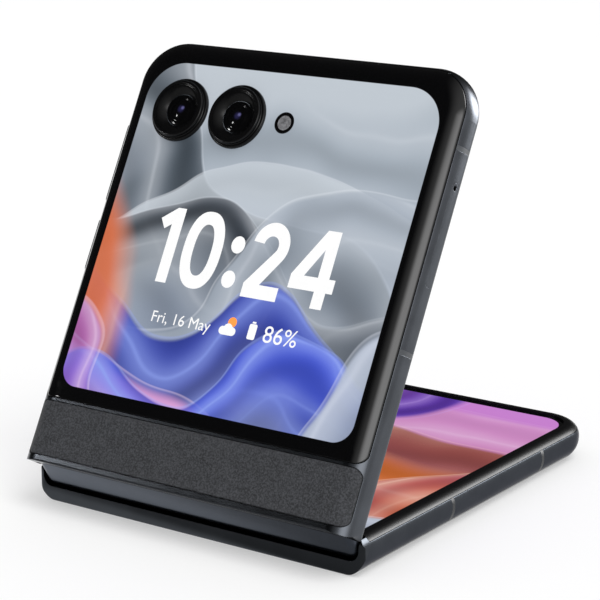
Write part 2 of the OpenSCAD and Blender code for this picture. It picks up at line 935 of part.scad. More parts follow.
module upper_inner_rim() {
    color("#141516")
    on_upper()
        difference() {
            inner_rim();
            bumpers(bumper_r + inlay_gap, half_t - bumper_seat, half_t + over);
            translate([0, half_l - earpiece_slot_in, rim_z - over])
                linear_extrude(half_t)
                round_bar(earpiece_slot_l, earpiece_slot_w);
        }
}
module rim_bumpers() {
    color("#1c1d1f") on_upper() bumpers(bumper_r, half_t - bumper_seat, half_t + bumper_proud);
}
module selfie_hole(r) {
    translate([selfie_place[0], selfie_place[1], 0]) cylinder(r = r, h = half_t + over);
}
module upper_display_panel() {
    color("#9a6fb0")
    on_upper()
        difference() {
            display_panel();
            selfie_hole(selfie_d / 2);
        }
}
module upper_display_backing() {
    color("#8b8f93")
    on_upper()
        difference() {
            display_backing();
            selfie_hole(selfie_d / 2 + selfie_gap);
        }
}
module upper_mid_plate() {
    color("#6f747a")
    on_upper()
        difference() {
            mid_plate(upper_arm_x);
            selfie_hole(selfie_d / 2 + selfie_gap);
        }
}
module selfie_camera() {
    color("#101114")
    on_upper()
        translate([selfie_place[0], selfie_place[1], 0]) {
            translate([0, 0, bay_top - selfie_depth])
                cylinder(r = selfie_r, h = display_z - 2 * contact_gap - bay_top + selfie_depth);
            block(-selfie_w / 2, selfie_w / 2, -selfie_w / 2, selfie_w / 2, bay_top - selfie_depth,
                bay_top - contact_gap);
        }
}
module main_board() {
    board_neck = [inner_camera[0] + module_w / 2 + board_edge, socket_end - board_neck_in];
    board_top = board_z + board_t;
    color("#1f5a3c")
    on_upper()
        difference() {
            union() {
                block(board_neck[0], half_w - board_in, board_right_near, board_far, board_z, board_top);
                block(board_neck[0], board_neck[1], board_left_far - board_join,
                    board_right_near + board_join, board_z, board_top);
                block(-half_w + board_in + 1, board_neck[1], tray_y - tray_l / 2, board_left_far,
                    board_z, board_top);
            }
            translate([selfie_place[0], selfie_place[1], 0])
                block(-selfie_w / 2 - board_edge, selfie_w / 2 + board_edge, -selfie_w / 2 - board_edge,
                    selfie_w, 0, half_t);
        }
}
module upper_battery() {
    color("#202226")
    on_upper()
        soft_block(-half_w + battery_in, half_w - battery_in, upper_battery_near,
            tray_y - tray_l / 2 - battery_margin, screen_top, bay_top - contact_gap, battery_r);
}
module earpiece_speaker() {
    color("#2c2e31")
    on_upper()
        soft_block(earpiece_x[0], earpiece_x[1], earpiece_near, earpiece_far, screen_top + 2 * contact_gap,
            board_under, speaker_r);
}
module top_microphone() {
    color("#c9b46a")
    on_upper()
        block(top_mic_x - mic_w / 2, top_mic_x + mic_w / 2, mic_far - mic_l, mic_far,
            bay_top - contact_gap - mic_t, bay_top - contact_gap);
}
// Card tray: an outer plate in the frame's side, and a carrier with a pocket for the card
module sim_tray() {
    color("#44494f")
    on_upper() {
        difference() {
            intersection() {
                half_form(0, fold_gap);
                tray_slot(0, plate_depth);
            }
            translate([half_w, tray_y + tray_l / 2 - pin_in, tray_plate_z])
                rotate([0, 90, 0]) {
                    translate([0, 0, -half_w]) cylinder(r = pin_r, h = body_w);
                    translate([0, 0, -pin_sink])
                        cylinder(r1 = pin_r, r2 = pin_r + 2 * pin_sink, h = 2 * pin_sink);
                }
        }
        difference() {
            block(carrier_end, half_w - plate_depth + 0.01, tray_y - carrier_w / 2, tray_y + carrier_w / 2,
                tray_z - carrier_t / 2, tray_z + carrier_t / 2);
            block(card_x, card_x + card_l, tray_y - card_w / 2, tray_y + card_w / 2,
                tray_z - carrier_t / 2 + card_floor, tray_z + carrier_t);
        }
    }
}
// Channel that guides the tray's carrier
module sim_socket() {
    half_socket = carrier_w / 2 + socket_gap;
    carrier_z = tray_z - carrier_t / 2;
    color("#b3b7bb")
    on_upper()
        difference() {
            block(socket_end, half_w - socket_in, tray_y - half_socket - socket_wall,
                tray_y + half_socket + socket_wall, carrier_z - socket_under - socket_floor,
                tray_z + carrier_t / 2);
            block(socket_end + socket_wall, half_w, tray_y - half_socket, tray_y + half_socket,
                carrier_z - socket_under, half_t);
        }
}
// Side key: a proud cap, a flange behind the frame's wall and a nub that meets its switch
module side_key(y, length) {
    color("#43484d")
    on_upper() {
        key_bar(y, length, key_h, -half_w - key_proud, flange_x + contact_gap);
        key_bar(y, length + 2 * flange_grow, key_flange_h, flange_x, flange_x + flange_t);
    }
}
module volume_key() {
    side_key(volume_y, volume_l);
}
module power_key() {
    side_key(power_y, power_l);
}
module key_switches() {
    board_x = switch_x + switch_t;
    color("#c8a24a")
    on_upper() {
        block(board_x, board_x + switch_board_t, power_y - power_l / 2, volume_y + volume_l / 2,
            key_z - switch_board_h / 2, key_z + switch_board_h / 2);
        for (y = [power_y, volume_y - volume_l / 3, volume_y + volume_l / 3])
            translate([switch_x, y, key_z])
            rotate([0, 90, 0])
            cylinder(r = switch_r, h = switch_t);
    }
}
module upper_swing_arms() {
    color("#8d9298") on_upper() swing_arms(upper_arm_x);
}
module upper_arm_screws() {
    color("#c8ccd0") on_upper() arm_screws(upper_arm_x);
}

lower_frame();
lower_break_inlays();
lower_back_cover();
lower_inner_rim();
lower_display_panel();
lower_display_backing();
lower_mid_plate();
lower_battery();
sub_board();
usb_c_socket();
loudspeaker();
bottom_microphone();
vibration_motor();
lower_swing_arms();
lower_arm_screws();
spine_cover();
hinge_base();
display_fold();
upper_frame();
upper_break_inlays();
cover_glass();
cover_display();
soft_strip();
outer_camera_ring();
inner_camera_ring();
outer_camera_window();
inner_camera_window();
outer_camera_module();
inner_camera_module();
flash_window();
flash_led();
upper_inner_rim();
upper_display_panel();
upper_display_backing();
upper_mid_plate();
main_board();
upper_battery();
earpiece_speaker();
selfie_camera();
top_microphone();
rim_bumpers();
sim_tray();
sim_socket();
volume_key();
power_key();
key_switches();
upper_swing_arms();
upper_arm_screws();
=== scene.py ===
import json
import math
import bmesh
import bpy
import numpy as np
from mathutils import Matrix, Vector


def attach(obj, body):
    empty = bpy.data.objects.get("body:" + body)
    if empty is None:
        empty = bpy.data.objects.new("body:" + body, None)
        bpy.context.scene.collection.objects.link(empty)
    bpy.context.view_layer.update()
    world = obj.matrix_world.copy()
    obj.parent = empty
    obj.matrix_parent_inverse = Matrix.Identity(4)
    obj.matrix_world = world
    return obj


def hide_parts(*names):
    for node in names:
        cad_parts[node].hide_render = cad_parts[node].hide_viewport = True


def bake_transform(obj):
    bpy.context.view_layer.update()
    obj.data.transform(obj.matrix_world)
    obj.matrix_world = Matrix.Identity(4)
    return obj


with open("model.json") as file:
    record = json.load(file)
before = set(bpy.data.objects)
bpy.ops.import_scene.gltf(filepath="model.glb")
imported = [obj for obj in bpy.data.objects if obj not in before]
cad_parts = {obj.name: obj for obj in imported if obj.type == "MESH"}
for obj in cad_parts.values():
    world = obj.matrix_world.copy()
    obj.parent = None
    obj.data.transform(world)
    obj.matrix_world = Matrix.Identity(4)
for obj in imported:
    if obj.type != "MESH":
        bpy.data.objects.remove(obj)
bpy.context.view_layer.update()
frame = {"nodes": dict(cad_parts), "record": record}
nodes = frame["nodes"]
print("frame loaded:", len(nodes), "nodes")

# Sizes of the phone in metres, and its angle in degrees
phone = {
    "width": 0.074, "halfLength": 0.08565, "cornerRadius": 0.0092, "faceRadius": 0.0044, "openAngle": 61.5,
    "axisIn": 0.00225, "axisHeight": 0.00525, "displayTop": 0.00685, "displayThickness": 0.0005,
    "coverInset": 0.000933,
}
halfWidth = phone["width"] / 2
halfLength = phone["halfLength"]
foldTurn = math.radians((180 - phone["openAngle"]) / 2)
millimetres = 1000


# Turns points about an axis along X: y and z go round the centre by the angle
def turnAboutX(points, angle, centreY, centreZ):
    y, z = points[:, 1] - centreY, points[:, 2] - centreZ
    c, s = math.cos(angle), math.sin(angle)
    return np.column_stack([points[:, 0], centreY + c * y - s * z, centreZ + s * y + c * z])


# Each half is described by x along the fold, s from the fold to its far end, and h inwards from its outer
# face
def placeLower(points):
    return points + np.array([0, -halfLength / 2, 0])


def placeSpine(points):
    return placeLower(turnAboutX(points, -foldTurn, phone["axisIn"], phone["axisHeight"]))


def placeUpper(points):
    mirrored = points * np.array([1, -1, 1])
    return placeSpine(turnAboutX(mirrored, -foldTurn, -phone["axisIn"], phone["axisHeight"]))


# The lower half's bend mirrored in the spine's middle plane
def placeMirrored(points):
    spined = turnAboutX(points, foldTurn, phone["axisIn"], phone["axisHeight"]) * np.array([1, -1, 1])
    return placeSpine(spined)


# Linear colour from the usual 0 to 255 values, by the standard screen curve
def linear(red, green, blue):
    shares = (value / 255 for value in (red, green, blue))
    return tuple(((c + 0.055) / 1.055) ** 2.4 if c > 0.04 else c / 12.92 for c in shares)


# Turns the faces of a closed mesh outwards
def turnOutwards(mesh):
    work = bmesh.new()
    work.from_mesh(mesh)
    bmesh.ops.recalc_face_normals(work, faces=work.faces)
    work.to_mesh(mesh)
    work.free()


def addObject(name, data):
    thing = bpy.data.objects.new(name, data)
    bpy.context.scene.collection.objects.link(thing)
    return thing


# Puts a piece into the scene. Its points before they are placed are kept as the attribute "flat", in mm.
def makePiece(name, points, faces, place, body, material, sharp=32, flat=None, closed=True):
    mesh = bpy.data.meshes.new(name)
    mesh.from_pydata(place(points).tolist(), [], faces)
    if closed:
        turnOutwards(mesh)
    attribute = mesh.attributes.new("flat", "FLOAT_VECTOR", "POINT")
    kept = points if flat is None else flat
    attribute.data.foreach_set("vector", (kept * millimetres).astype(np.float32).ravel())
    mesh.polygons.foreach_set("use_smooth", [True] * len(mesh.polygons))
    mesh.set_sharp_from_angle(angle=math.radians(sharp))
    mesh.materials.append(material)
    piece = addObject(name, mesh)
    if body:
        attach(piece, body)
    return piece


# Quads between successive loops of the same length
def bandFaces(loops, count):
    faces = []
    for k in range(loops - 1):
        a, b = k * count, (k + 1) * count
        faces += [(a + i, a + (i + 1) % count, b + (i + 1) % count, b + i) for i in range(count)]
    return faces


# Bands with a flat cap on the first and the last loop
def closedFaces(loops, count):
    last = (loops - 1) * count
    return bandFaces(loops, count) + [tuple(range(count)), tuple(range(last + count - 1, last - 1, -1))]


# Rounded rectangle as one closed loop: its near and far corners have their own radii, each a quarter circle.
# Points on the ends lie closer together towards the corners, as the cosine of an even angle.
def roundedLoop(half, near, far, nearRadius, farRadius, endSteps=24, arcSteps=20):
    across = -np.cos(np.linspace(0, np.pi, endSteps))[1:-1]
    turn = np.linspace(0, np.pi / 2, arcSteps)
    nearX, farX = half - nearRadius, half - farRadius

    def quarter(x, y, radius, first):
        return np.column_stack([x + radius * np.cos(first + turn), y + radius * np.sin(first + turn)])

    return np.vstack([
        np.column_stack([across * nearX, np.full(len(across), near)]),
        quarter(nearX, near + nearRadius, nearRadius, -np.pi / 2),
        quarter(farX, far - farRadius, farRadius, 0),
        np.column_stack([-across * farX, np.full(len(across), far)]),
        quarter(-farX, far - farRadius, farRadius, np.pi / 2),
        quarter(-nearX, near + nearRadius, nearRadius, np.pi),
    ])


# Height of the rounded outer face: a quarter circle over the distance from the half's outline, and flat
# further in
def faceHeight(x, s):
    radius, corner = phone["faceRadius"], phone["cornerRadius"]
    overX = np.maximum(np.abs(x) - (halfWidth - corner), 0)
    overS = np.maximum(s - (halfLength - corner), 0)
    inset = np.clip(corner - np.hypot(overX, overS), 0, radius)
    return radius - np.sqrt(np.maximum(radius ** 2 - (radius - inset) ** 2, 0))


leastRadius = 0.0001


# A cover that follows the outer face: loops drawn in from its outline, each with its own drop below that face
def coverSurface(half, near, far, nearRadius, farRadius, profile):
    loops = []
    for inset, drop in profile:
        loop = roundedLoop(half - inset, near + inset, far - inset,
                           max(nearRadius - inset, leastRadius), max(farRadius - inset, leastRadius))
        loops.append(np.column_stack([loop, faceHeight(loop[:, 0], loop[:, 1]) + drop]))
    return np.vstack(loops), closedFaces(len(loops), len(loops[0]))


# A profile of (radius, height) pairs carried round an upright axis at the centre
def turnedSurface(profile, centre, steps=96, hole=False):
    angle = np.linspace(0, 2 * np.pi, steps, endpoint=False)
    c, s = np.cos(angle), np.sin(angle)
    loops = [np.column_stack([centre[0] + r * c, centre[1] + r * s, np.full(steps, h)]) for r, h in profile]
    if hole:
        last = (len(loops) - 1) * steps
        closing = [(last + i, last + (i + 1) % steps, (i + 1) % steps, i) for i in range(steps)]
        return np.vstack(loops), bandFaces(len(loops), steps) + closing
    return np.vstack(loops), closedFaces(len(loops), steps)


# Quarter round from the side of a disc to its top, which lies at the lower h
def roundEdge(radius, top, size, steps=7):
    turn = np.linspace(0, math.pi / 2, steps)
    return [(radius - size + size * math.cos(a), top + size - size * math.sin(a)) for a in turn]


# Materials: small helpers that add nodes and link them
def newMaterial(name, **values):
    material = bpy.data.materials.new(name)
    material.use_nodes = True
    shader = material.node_tree.nodes["Principled BSDF"]
    for key, value in values.items():
        shader.inputs[key.replace("_", " ")].default_value = value
    return material, material.node_tree, shader


def connect(tree, socket, value):
    if isinstance(value, bpy.types.NodeSocket):
        tree.links.new(value, socket)
    else:
        socket.default_value = (*value, 1) if isinstance(value, tuple) and socket.type == "RGBA" else value


def addNode(tree, kind, inputs=None, **settings):
    node = tree.nodes.new(kind)
    for key, value in settings.items():
        setattr(node, key, value)
    for key, value in (inputs or {}).items():
        connect(tree, node.inputs[key], value)
    return node


def calc(tree, operation, *values):
    return addNode(tree, "ShaderNodeMath", dict(enumerate(values)), operation=operation).outputs[0]


def distance(tree, x, y):
    return calc(tree, "SQRT", calc(tree, "ADD", calc(tree, "MULTIPLY", x, x), calc(tree, "MULTIPLY", y, y)))


def blendColour(tree, factor, a, b):
    return addNode(tree, "ShaderNodeMix", {0: factor, 6: a, 7: b}, data_type="RGBA").outputs[2]


def blendValue(tree, factor, a, b):
    return addNode(tree, "ShaderNodeMix", {0: factor, 2: a, 3: b}).outputs[0]


def smoothStep(tree, value, low, high, first=0.0, last=1.0):
    inputs = dict(enumerate((value, low, high, first, last)))
    return addNode(tree, "ShaderNodeMapRange", inputs, interpolation_type="SMOOTHSTEP").outputs[0]


def noise(tree, vector, scale, detail=3.0, roughness=0.55, output="Fac"):
    inputs = {"Vector": vector, "Scale": scale, "Detail": detail, "Roughness": roughness}
    return addNode(tree, "ShaderNodeTexNoise", inputs).outputs[output]


def objectPoint(tree):
    return addNode(tree, "ShaderNodeTexCoord").outputs["Object"]


def splitAxes(tree, vector):
    return addNode(tree, "ShaderNodeSeparateXYZ", {0: vector}).outputs


def addBump(tree, shader, height, strength, depth, edge=0.0):
    inputs = {"Height": height, "Strength": strength, "Distance": depth}
    if edge:
        inputs["Normal"] = addNode(tree, "ShaderNodeBevel", {"Radius": edge}, samples=4).outputs["Normal"]
    tree.links.new(addNode(tree, "ShaderNodeBump", inputs).outputs["Normal"], shader.inputs["Normal"])


# Turn and shift that lay a half's object coordinates flat, in mm
upperOrigin = placeUpper(np.zeros((1, 3))) * -millimetres
flatMaps = {
    "lower": ((0, 0, 0), (0, halfLength / 2 * millimetres, 0)),
    "upper": ((2 * foldTurn, 0, 0), tuple(turnAboutX(upperOrigin, 2 * foldTurn, 0, 0)[0])),
}


# Where a finish reads its place from: the piece's own attribute, or a half's object coordinates laid flat
def picturePoint(tree, source):
    if source == "flat":
        return addNode(tree, "ShaderNodeAttribute", attribute_name="flat").outputs["Vector"]
    turn, shift = flatMaps[source]
    inputs = {"Vector": objectPoint(tree), "Location": shift, "Rotation": turn, "Scale": (millimetres,) * 3}
    return addNode(tree, "ShaderNodeMapping", inputs).outputs[0]


# What most of the grained finishes share. The patches are where the broad noise turns from dark to light.
grainShared = {"metallic": 0.0, "cloud": 180.0, "spread": 0.06, "patches": (0.3, 0.7), "drift": 0.1,
               "bump": 0.1, "depth": 0.00001, "edge": 0.0}


# A finish with fine grain: colour and roughness drift with a broad noise, and the relief follows a fine one.
# A crown bends the wall's shading above its level: the relief grows as the square of the height over it.
def grainFinish(name, own, half=None, **values):
    look = grainShared | own
    material, tree, shader = newMaterial(name, Metallic=look["metallic"], **values)
    point = objectPoint(tree)
    fine = noise(tree, point, look["grain"], 2.0)
    broad = noise(tree, point, look["cloud"])
    light = tuple(min(c * (1 + look["spread"]), 1) for c in look["colour"])
    dark = tuple(c * (1 - look["spread"]) for c in look["colour"])
    tone = blendColour(tree, smoothStep(tree, broad, *look["patches"]), dark, light)
    tree.links.new(tone, shader.inputs["Base Color"])
    rough = calc(tree, "MULTIPLY_ADD", broad, look["drift"], look["rough"] - look["drift"] / 2)
    tree.links.new(rough, shader.inputs["Roughness"])
    if half:
        over = calc(tree, "SUBTRACT", splitAxes(tree, picturePoint(tree, half))[2], look["crownLevel"])
        over = calc(tree, "MAXIMUM", over, 0.0)
        crown = calc(tree, "MULTIPLY", calc(tree, "MULTIPLY", over, over), look["crown"])
        fine = calc(tree, "ADD", fine, crown)
    addBump(tree, shader, fine, look["bump"], look["depth"], look["edge"])
    return material


# Frame metal. The upper half's frame is the same metal as the lower one, painted lighter: painted light on
# its walls.
darkMetal = {"colour": linear(65, 68, 72), "metallic": 1.0, "rough": 0.24, "grain": 9000.0, "bump": 1.0,
             "depth": 0.00000025, "edge": 0.00013, "crownLevel": 3.2, "crown": 200.0}
lowerMetal = grainFinish("lowerMetal", darkMetal, "lower", Specular_Tint=(0.5, 0.5, 0.52, 1))
upperMetalPaintedLighter = grainFinish("upperMetalPaintedLighter", darkMetal | {"colour": linear(80, 83, 88)}, "upper")
spineMetal = grainFinish("spineMetal", {"colour": linear(88, 94, 104), "metallic": 1.0, "rough": 0.34,
                                        "grain": 9000.0, "bump": 0.05, "depth": 0.000005, "edge": 0.00012})
breakPlastic = grainFinish("breakPlastic", {"colour": linear(60, 64, 69), "rough": 0.4, "grain": 7000.0})
# The lower half's break inlays are the same plastic as breakPlastic, painted darker: painted shade.
lowerBreaksPaintedDarker = grainFinish("lowerBreaksPaintedDarker", {"colour": linear(28, 30, 33), "rough": 0.4, "grain": 7000.0},
                          Specular_IOR_Level=0.3)
backCover = grainFinish("backCover", {"colour": linear(24, 25, 27), "rough": 0.28, "grain": 6000.0})
rimPlastic = grainFinish("rimPlastic", {"colour": linear(7, 7, 8), "rough": 0.34, "grain": 5000.0},
                         Specular_IOR_Level=0.3)
softRubber = grainFinish("softRubber", {"colour": linear(14, 14, 15), "rough": 0.75, "grain": 5000.0})
ringMetal = grainFinish("ringMetal", {"colour": linear(9, 9, 10), "rough": 0.2, "grain": 7000.0, "bump": 0.03,
                                      "depth": 0.000003}, Specular_IOR_Level=0.3)
innerSteel = grainFinish("innerSteel", {"colour": linear(176, 180, 184), "metallic": 1.0, "rough": 0.36,
                                        "grain": 3000.0})
screwSteel = grainFinish("screwSteel", {"colour": linear(190, 192, 196), "metallic": 1.0, "rough": 0.28,
                                        "grain": 4000.0})
hingeSteel = grainFinish("hingeSteel", {"colour": linear(70, 73, 78), "metallic": 1.0, "rough": 0.42,
                                        "grain": 4000.0})
batteryWrap = grainFinish("batteryWrap", {"colour": linear(38, 40, 44), "rough": 0.45, "grain": 2000.0})
modulePlastic = grainFinish("modulePlastic", {"colour": linear(52, 54, 57), "rough": 0.5, "grain": 5000.0})
selfieGlass = grainFinish("selfieGlass", {"colour": linear(10, 11, 16), "rough": 0.1, "grain": 2000.0},
                          Coat_Weight=1.0)
flashMilk = grainFinish("flashMilk", {"colour": linear(118, 118, 121), "rough": 0.25, "grain": 2600.0,
                                      "spread": 0.4, "bump": 0.4, "depth": 0.00004, "cloud": 1700.0},
                        Coat_Weight=1.0, Coat_Roughness=0.05)

# Circuit board: square cells of solder mask, raised a little
board = {"cells": 900.0, "edge": (0.25, 0.3), "ground": linear(32, 104, 66), "mask": linear(20, 74, 48),
         "bump": 0.3, "relief": 0.00002}


def boardFinish():
    material, tree, shader = newMaterial("circuitBoard", Roughness=0.42)
    inputs = {"Vector": objectPoint(tree), "Scale": board["cells"]}
    cells = addNode(tree, "ShaderNodeTexVoronoi", inputs, distance="CHEBYCHEV")
    mask = smoothStep(tree, cells.outputs["Distance"], *board["edge"])
    tree.links.new(blendColour(tree, mask, board["ground"], board["mask"]), shader.inputs["Base Color"])
    addBump(tree, shader, mask, board["bump"], board["relief"])
    return material


circuitBoard = boardFinish()

# Strip of dark suede: short fibres as a speckle, with soft clouds where the nap lies differently. Fibre and
# nap are given as the scale, detail and roughness of their noise.
suede = {"dark": linear(22, 23, 26), "light": linear(90, 92, 97), "fibre": (2900.0, 5.0, 0.8),
         "nap": (420.0, 4.0, 0.65), "speck": (0.42, 0.62), "speckShare": 0.45, "napShare": 0.3, "bump": 0.5,
         "relief": 0.0001}


def suedeFinish():
    material, tree, shader = newMaterial("stripSuede", Roughness=0.85, Sheen_Weight=0.12, Sheen_Roughness=0.4)
    point = objectPoint(tree)
    fibre, nap = noise(tree, point, *suede["fibre"]), noise(tree, point, *suede["nap"])
    speck = calc(tree, "MULTIPLY", smoothStep(tree, fibre, *suede["speck"]), suede["speckShare"])
    mixed = calc(tree, "MULTIPLY_ADD", nap, suede["napShare"], speck)
    tree.links.new(blendColour(tree, mixed, suede["dark"], suede["light"]), shader.inputs["Base Color"])
    addBump(tree, shader, fibre, suede["bump"], suede["relief"])
    return material


stripSuede = suedeFinish()

paleLight = (0.78, 0.82, 0.88)


# One translucent sheet of the pictures. It covers one side of a waving line: side = wave - distance across.
def sheet(angle, offset, wave, height, phase, reach, colour, depth=0.8, rest=0.0, edge=0.5, glint=0.2,
          light=paleLight, fold=9.0, foldLight=0.2, foldDark=0.2):
    return {"angle": angle, "offset": offset, "wave": wave, "height": height, "phase": phase, "reach": reach,
            "colour": colour, "depth": depth, "rest": rest, "edge": edge, "glint": glint, "light": light,
            "fold": fold, "foldLight": foldLight, "foldDark": foldDark}


# What all sheets share: how far a noise bends their folds, the thin threads, the shade, and the glint in mm
silk = {"drift": 14.0, "threadPower": 60.0, "threadShare": 0.6, "shadePower": 2.5, "deep": 0.1,
        "glintRise": (-0.3, 0.0), "glintFall": (0.0, 0.5)}


# Lays sheets over one another. A sheet is full along its line and fades over its reach. Soft folds run along
# the line: their tone is a sine of the distance from it, bent by a drifting noise, with a thin thread on top.
def layerSheets(tree, x, y, drift, colour, sheets):
    for look in sheets:
        turn = math.radians(look["angle"])
        u = calc(tree, "MULTIPLY_ADD", x, math.cos(turn), calc(tree, "MULTIPLY", y, math.sin(turn)))
        v = calc(tree, "MULTIPLY_ADD", x, -math.sin(turn), calc(tree, "MULTIPLY", y, math.cos(turn)))
        wave = calc(tree, "SINE", calc(tree, "MULTIPLY_ADD", u, 2 * math.pi / look["wave"], look["phase"]))
        side = calc(tree, "SUBTRACT", calc(tree, "MULTIPLY_ADD", wave, look["height"], look["offset"]), v)
        fade = smoothStep(tree, side, look["edge"], look["reach"], 1.0, look["rest"])
        cover = calc(tree, "MULTIPLY", smoothStep(tree, side, 0.0, look["edge"]), fade)
        colour = blendColour(tree, calc(tree, "MULTIPLY", cover, look["depth"]), colour, look["colour"])
        across = calc(tree, "MULTIPLY", side, 2 * math.pi / look["fold"])
        bent = calc(tree, "MULTIPLY_ADD", drift, silk["drift"], across)
        tone = calc(tree, "MULTIPLY_ADD", calc(tree, "SINE", bent), 0.5, 0.5)
        shine = calc(tree, "MULTIPLY", calc(tree, "MULTIPLY", tone, tone), look["foldLight"])
        thread = calc(tree, "POWER", tone, silk["threadPower"])
        thread = calc(tree, "MULTIPLY", thread, look["foldLight"] * silk["threadShare"])
        shine = calc(tree, "MULTIPLY", calc(tree, "ADD", shine, thread), cover)
        colour = blendColour(tree, shine, colour, look["light"])
        shade = calc(tree, "POWER", calc(tree, "SUBTRACT", 1.0, tone), silk["shadePower"])
        shade = calc(tree, "MULTIPLY", calc(tree, "MULTIPLY", shade, look["foldDark"]), cover)
        colour = blendColour(tree, shade, colour, tuple(c * silk["deep"] for c in look["colour"]))
        glint = calc(tree, "MULTIPLY", smoothStep(tree, side, *silk["glintRise"]),
                     smoothStep(tree, side, *silk["glintFall"], 1.0, 0.0))
        colour = blendColour(tree, calc(tree, "MULTIPLY", glint, look["glint"]), colour, look["light"])
    return colour


# Cover display: its place on the outer face in mm, the height where its corner radius changes, the flash as
# x, y and radius, its glow, and the sheets of its picture
blueLight, roseLight, warmLight = linear(150, 170, 246), linear(250, 222, 248), linear(250, 208, 184)
coverPicture = {
    "half": 32.65, "near": 15.25, "far": 80.45, "nearRadius": 3.8, "farRadius": 7.6, "middle": (40.0, 42.0),
    "flash": (0.4, 71.0, 2.1), "glow": 0.62, "top": linear(196, 204, 212), "bottom": linear(160, 172, 200),
    "warp": 20.0, "warpScale": 0.024,
    "sheets": [
        sheet(24, 68, 80, 6, 0.4, 50, linear(160, 171, 182), 0.7, 0.4, 7.0, 0.0, fold=22.0),
        sheet(-34, 48, 70, 7, 2.0, 36, linear(74, 85, 96), 0.9, 0.2, 0.8, 0.2, fold=15.0, foldLight=0.3,
              foldDark=0.5),
        sheet(10, 56, 90, 8, 1.0, 24, linear(200, 208, 216), 0.75, 0.0, 0.5, 0.4, fold=13.0, foldDark=0.1),
        sheet(-12, 45, 60, 7, 3.4, 20, linear(44, 52, 64), 0.85, 0.0, 0.6, 0.15, fold=9.0, foldLight=0.25,
              foldDark=0.5),
        sheet(32, 38, 66, 6, 4.2, 30, linear(166, 176, 189), 0.75, 0.3, 1.0, 0.3, fold=14.0),
        sheet(-2, 33, 50, 6, 0.6, 30, linear(38, 58, 176), 0.9, 0.35, 1.0, 0.3, blueLight, 12.0, 0.4, 0.4),
        sheet(-62, -4, 60, 4, 0.8, 60, linear(222, 118, 78), 0.95, 0.9, 7.0, 0.0, warmLight, 16.0, 0.3, 0.1),
        sheet(-28, 11, 50, 4, 2.6, 34, linear(228, 168, 224), 0.95, 0.8, 2.5, 0.3, roseLight, 12.0, 0.4,
              0.15),
        sheet(14, 23, 44, 5, 5.0, 16, linear(76, 96, 226), 0.8, 0.1, 0.6, 0.4, blueLight, 8.0, 0.5, 0.3),
        sheet(-52, -8, 40, 4, 1.2, 22, linear(150, 96, 210), 0.6, 0.2, 0.8, 0.3, roseLight, 9.0, 0.3, 0.2),
        sheet(42, 0, 48, 4, 2.2, 30, linear(164, 175, 194), 0.9, 0.6, 1.2, 0.3, linear(226, 232, 246), 12.0,
              0.3, 0.2),
    ],
}

# Folding display: half size of its lit area in mm, its glow and gloss, and the sheets of its picture over the
# open phone
foldPicture = {
    "half": 33.2, "far": 81.1, "radius": 5.4, "glow": 0.6, "gloss": 0.3, "top": linear(206, 134, 214),
    "bottom": linear(196, 108, 70), "warp": 12.0, "warpScale": 0.02,
    "sheets": [
        sheet(14, 70, 80, 4, 0.3, 40, linear(216, 150, 200), 0.7, 0.4, 3.0, 0.1, roseLight, 18.0, 0.25, 0.1),
        sheet(-4, 60, 90, 2, 3.2, 50, linear(150, 74, 62), 0.95, 0.5, 2.0, 0.25, warmLight, 22.0, 0.15, 0.3),
        sheet(12, 40, 70, 5, 0.9, 40, linear(222, 116, 44), 0.9, 0.5, 9.0, 0.0, warmLight, 14.0, 0.3, 0.25),
        sheet(-118, -30, 60, 6, 2.0, 40, linear(84, 46, 168), 0.95, 0.5, 3.0, 0.3, linear(196, 160, 242),
              12.0, 0.3, 0.3),
        sheet(70, -14, 50, 5, 4.0, 22, linear(180, 80, 120), 0.5, 0.0, 0.8, 0.4, warmLight, 9.0, 0.4, 0.2),
        sheet(20, 2, 50, 1, 1.0, 30, linear(184, 196, 210), 0.95, 0.8, 1.2, 0.4, linear(226, 234, 242)),
        sheet(4, -12, 90, 5, 0.3, 70, linear(96, 74, 190), 0.9, 0.6, 4.0, 0.2, roseLight, 26.0, 0.3, 0.2),
    ],
}

# What the lit finishes share: the heights in mm between which the ground changes colour, detail and roughness
# of the warp, how far the base is darkened, the border's black, its soft edge in mm, and smears in the gloss
lit = {"ground": (15.0, 82.0), "warpNoise": (2.0, 0.45), "darken": 0.62, "border": linear(4, 4, 5),
       "black": (0.0, 0.0, 0.0), "soft": 0.06, "smearNoise": (0.09, 4.0), "smear": 0.05, "rough": 0.035}


# Mask of a rounded rectangle, from the usual distance to a box whose corners are rounded
def boxMask(tree, x, y, half, near, far, radius):
    overX = calc(tree, "SUBTRACT", calc(tree, "ABSOLUTE", x), half - radius)
    fromMiddle = calc(tree, "ABSOLUTE", calc(tree, "SUBTRACT", y, (near + far) / 2))
    overY = calc(tree, "SUBTRACT", fromMiddle, (far - near) / 2 - radius)
    outer = distance(tree, calc(tree, "MAXIMUM", overX, 0.0), calc(tree, "MAXIMUM", overY, 0.0))
    inner = calc(tree, "MINIMUM", calc(tree, "MAXIMUM", overX, overY), 0.0)
    away = calc(tree, "ADD", outer, inner)
    return smoothStep(tree, away, radius - lit["soft"], radius + lit["soft"], 1.0, 0.0)


# The near corners and the far ones have their own radii, and the flash keeps a black disc
def coverMasks(tree, x, y, look):
    low, high = (boxMask(tree, x, y, look["half"], look["near"], look["far"], look[key])
                 for key in ("nearRadius", "farRadius"))
    mask = blendColour(tree, smoothStep(tree, y, *look["middle"]), low, high)
    flashX, flashY, radius = look["flash"]
    away = distance(tree, calc(tree, "SUBTRACT", x, flashX), calc(tree, "SUBTRACT", y, flashY))
    return calc(tree, "MULTIPLY", mask, smoothStep(tree, away, radius - lit["soft"], radius + lit["soft"]))


def foldMasks(tree, x, y, look):
    return boxMask(tree, x, y, look["half"], -look["far"], look["far"], look["radius"])


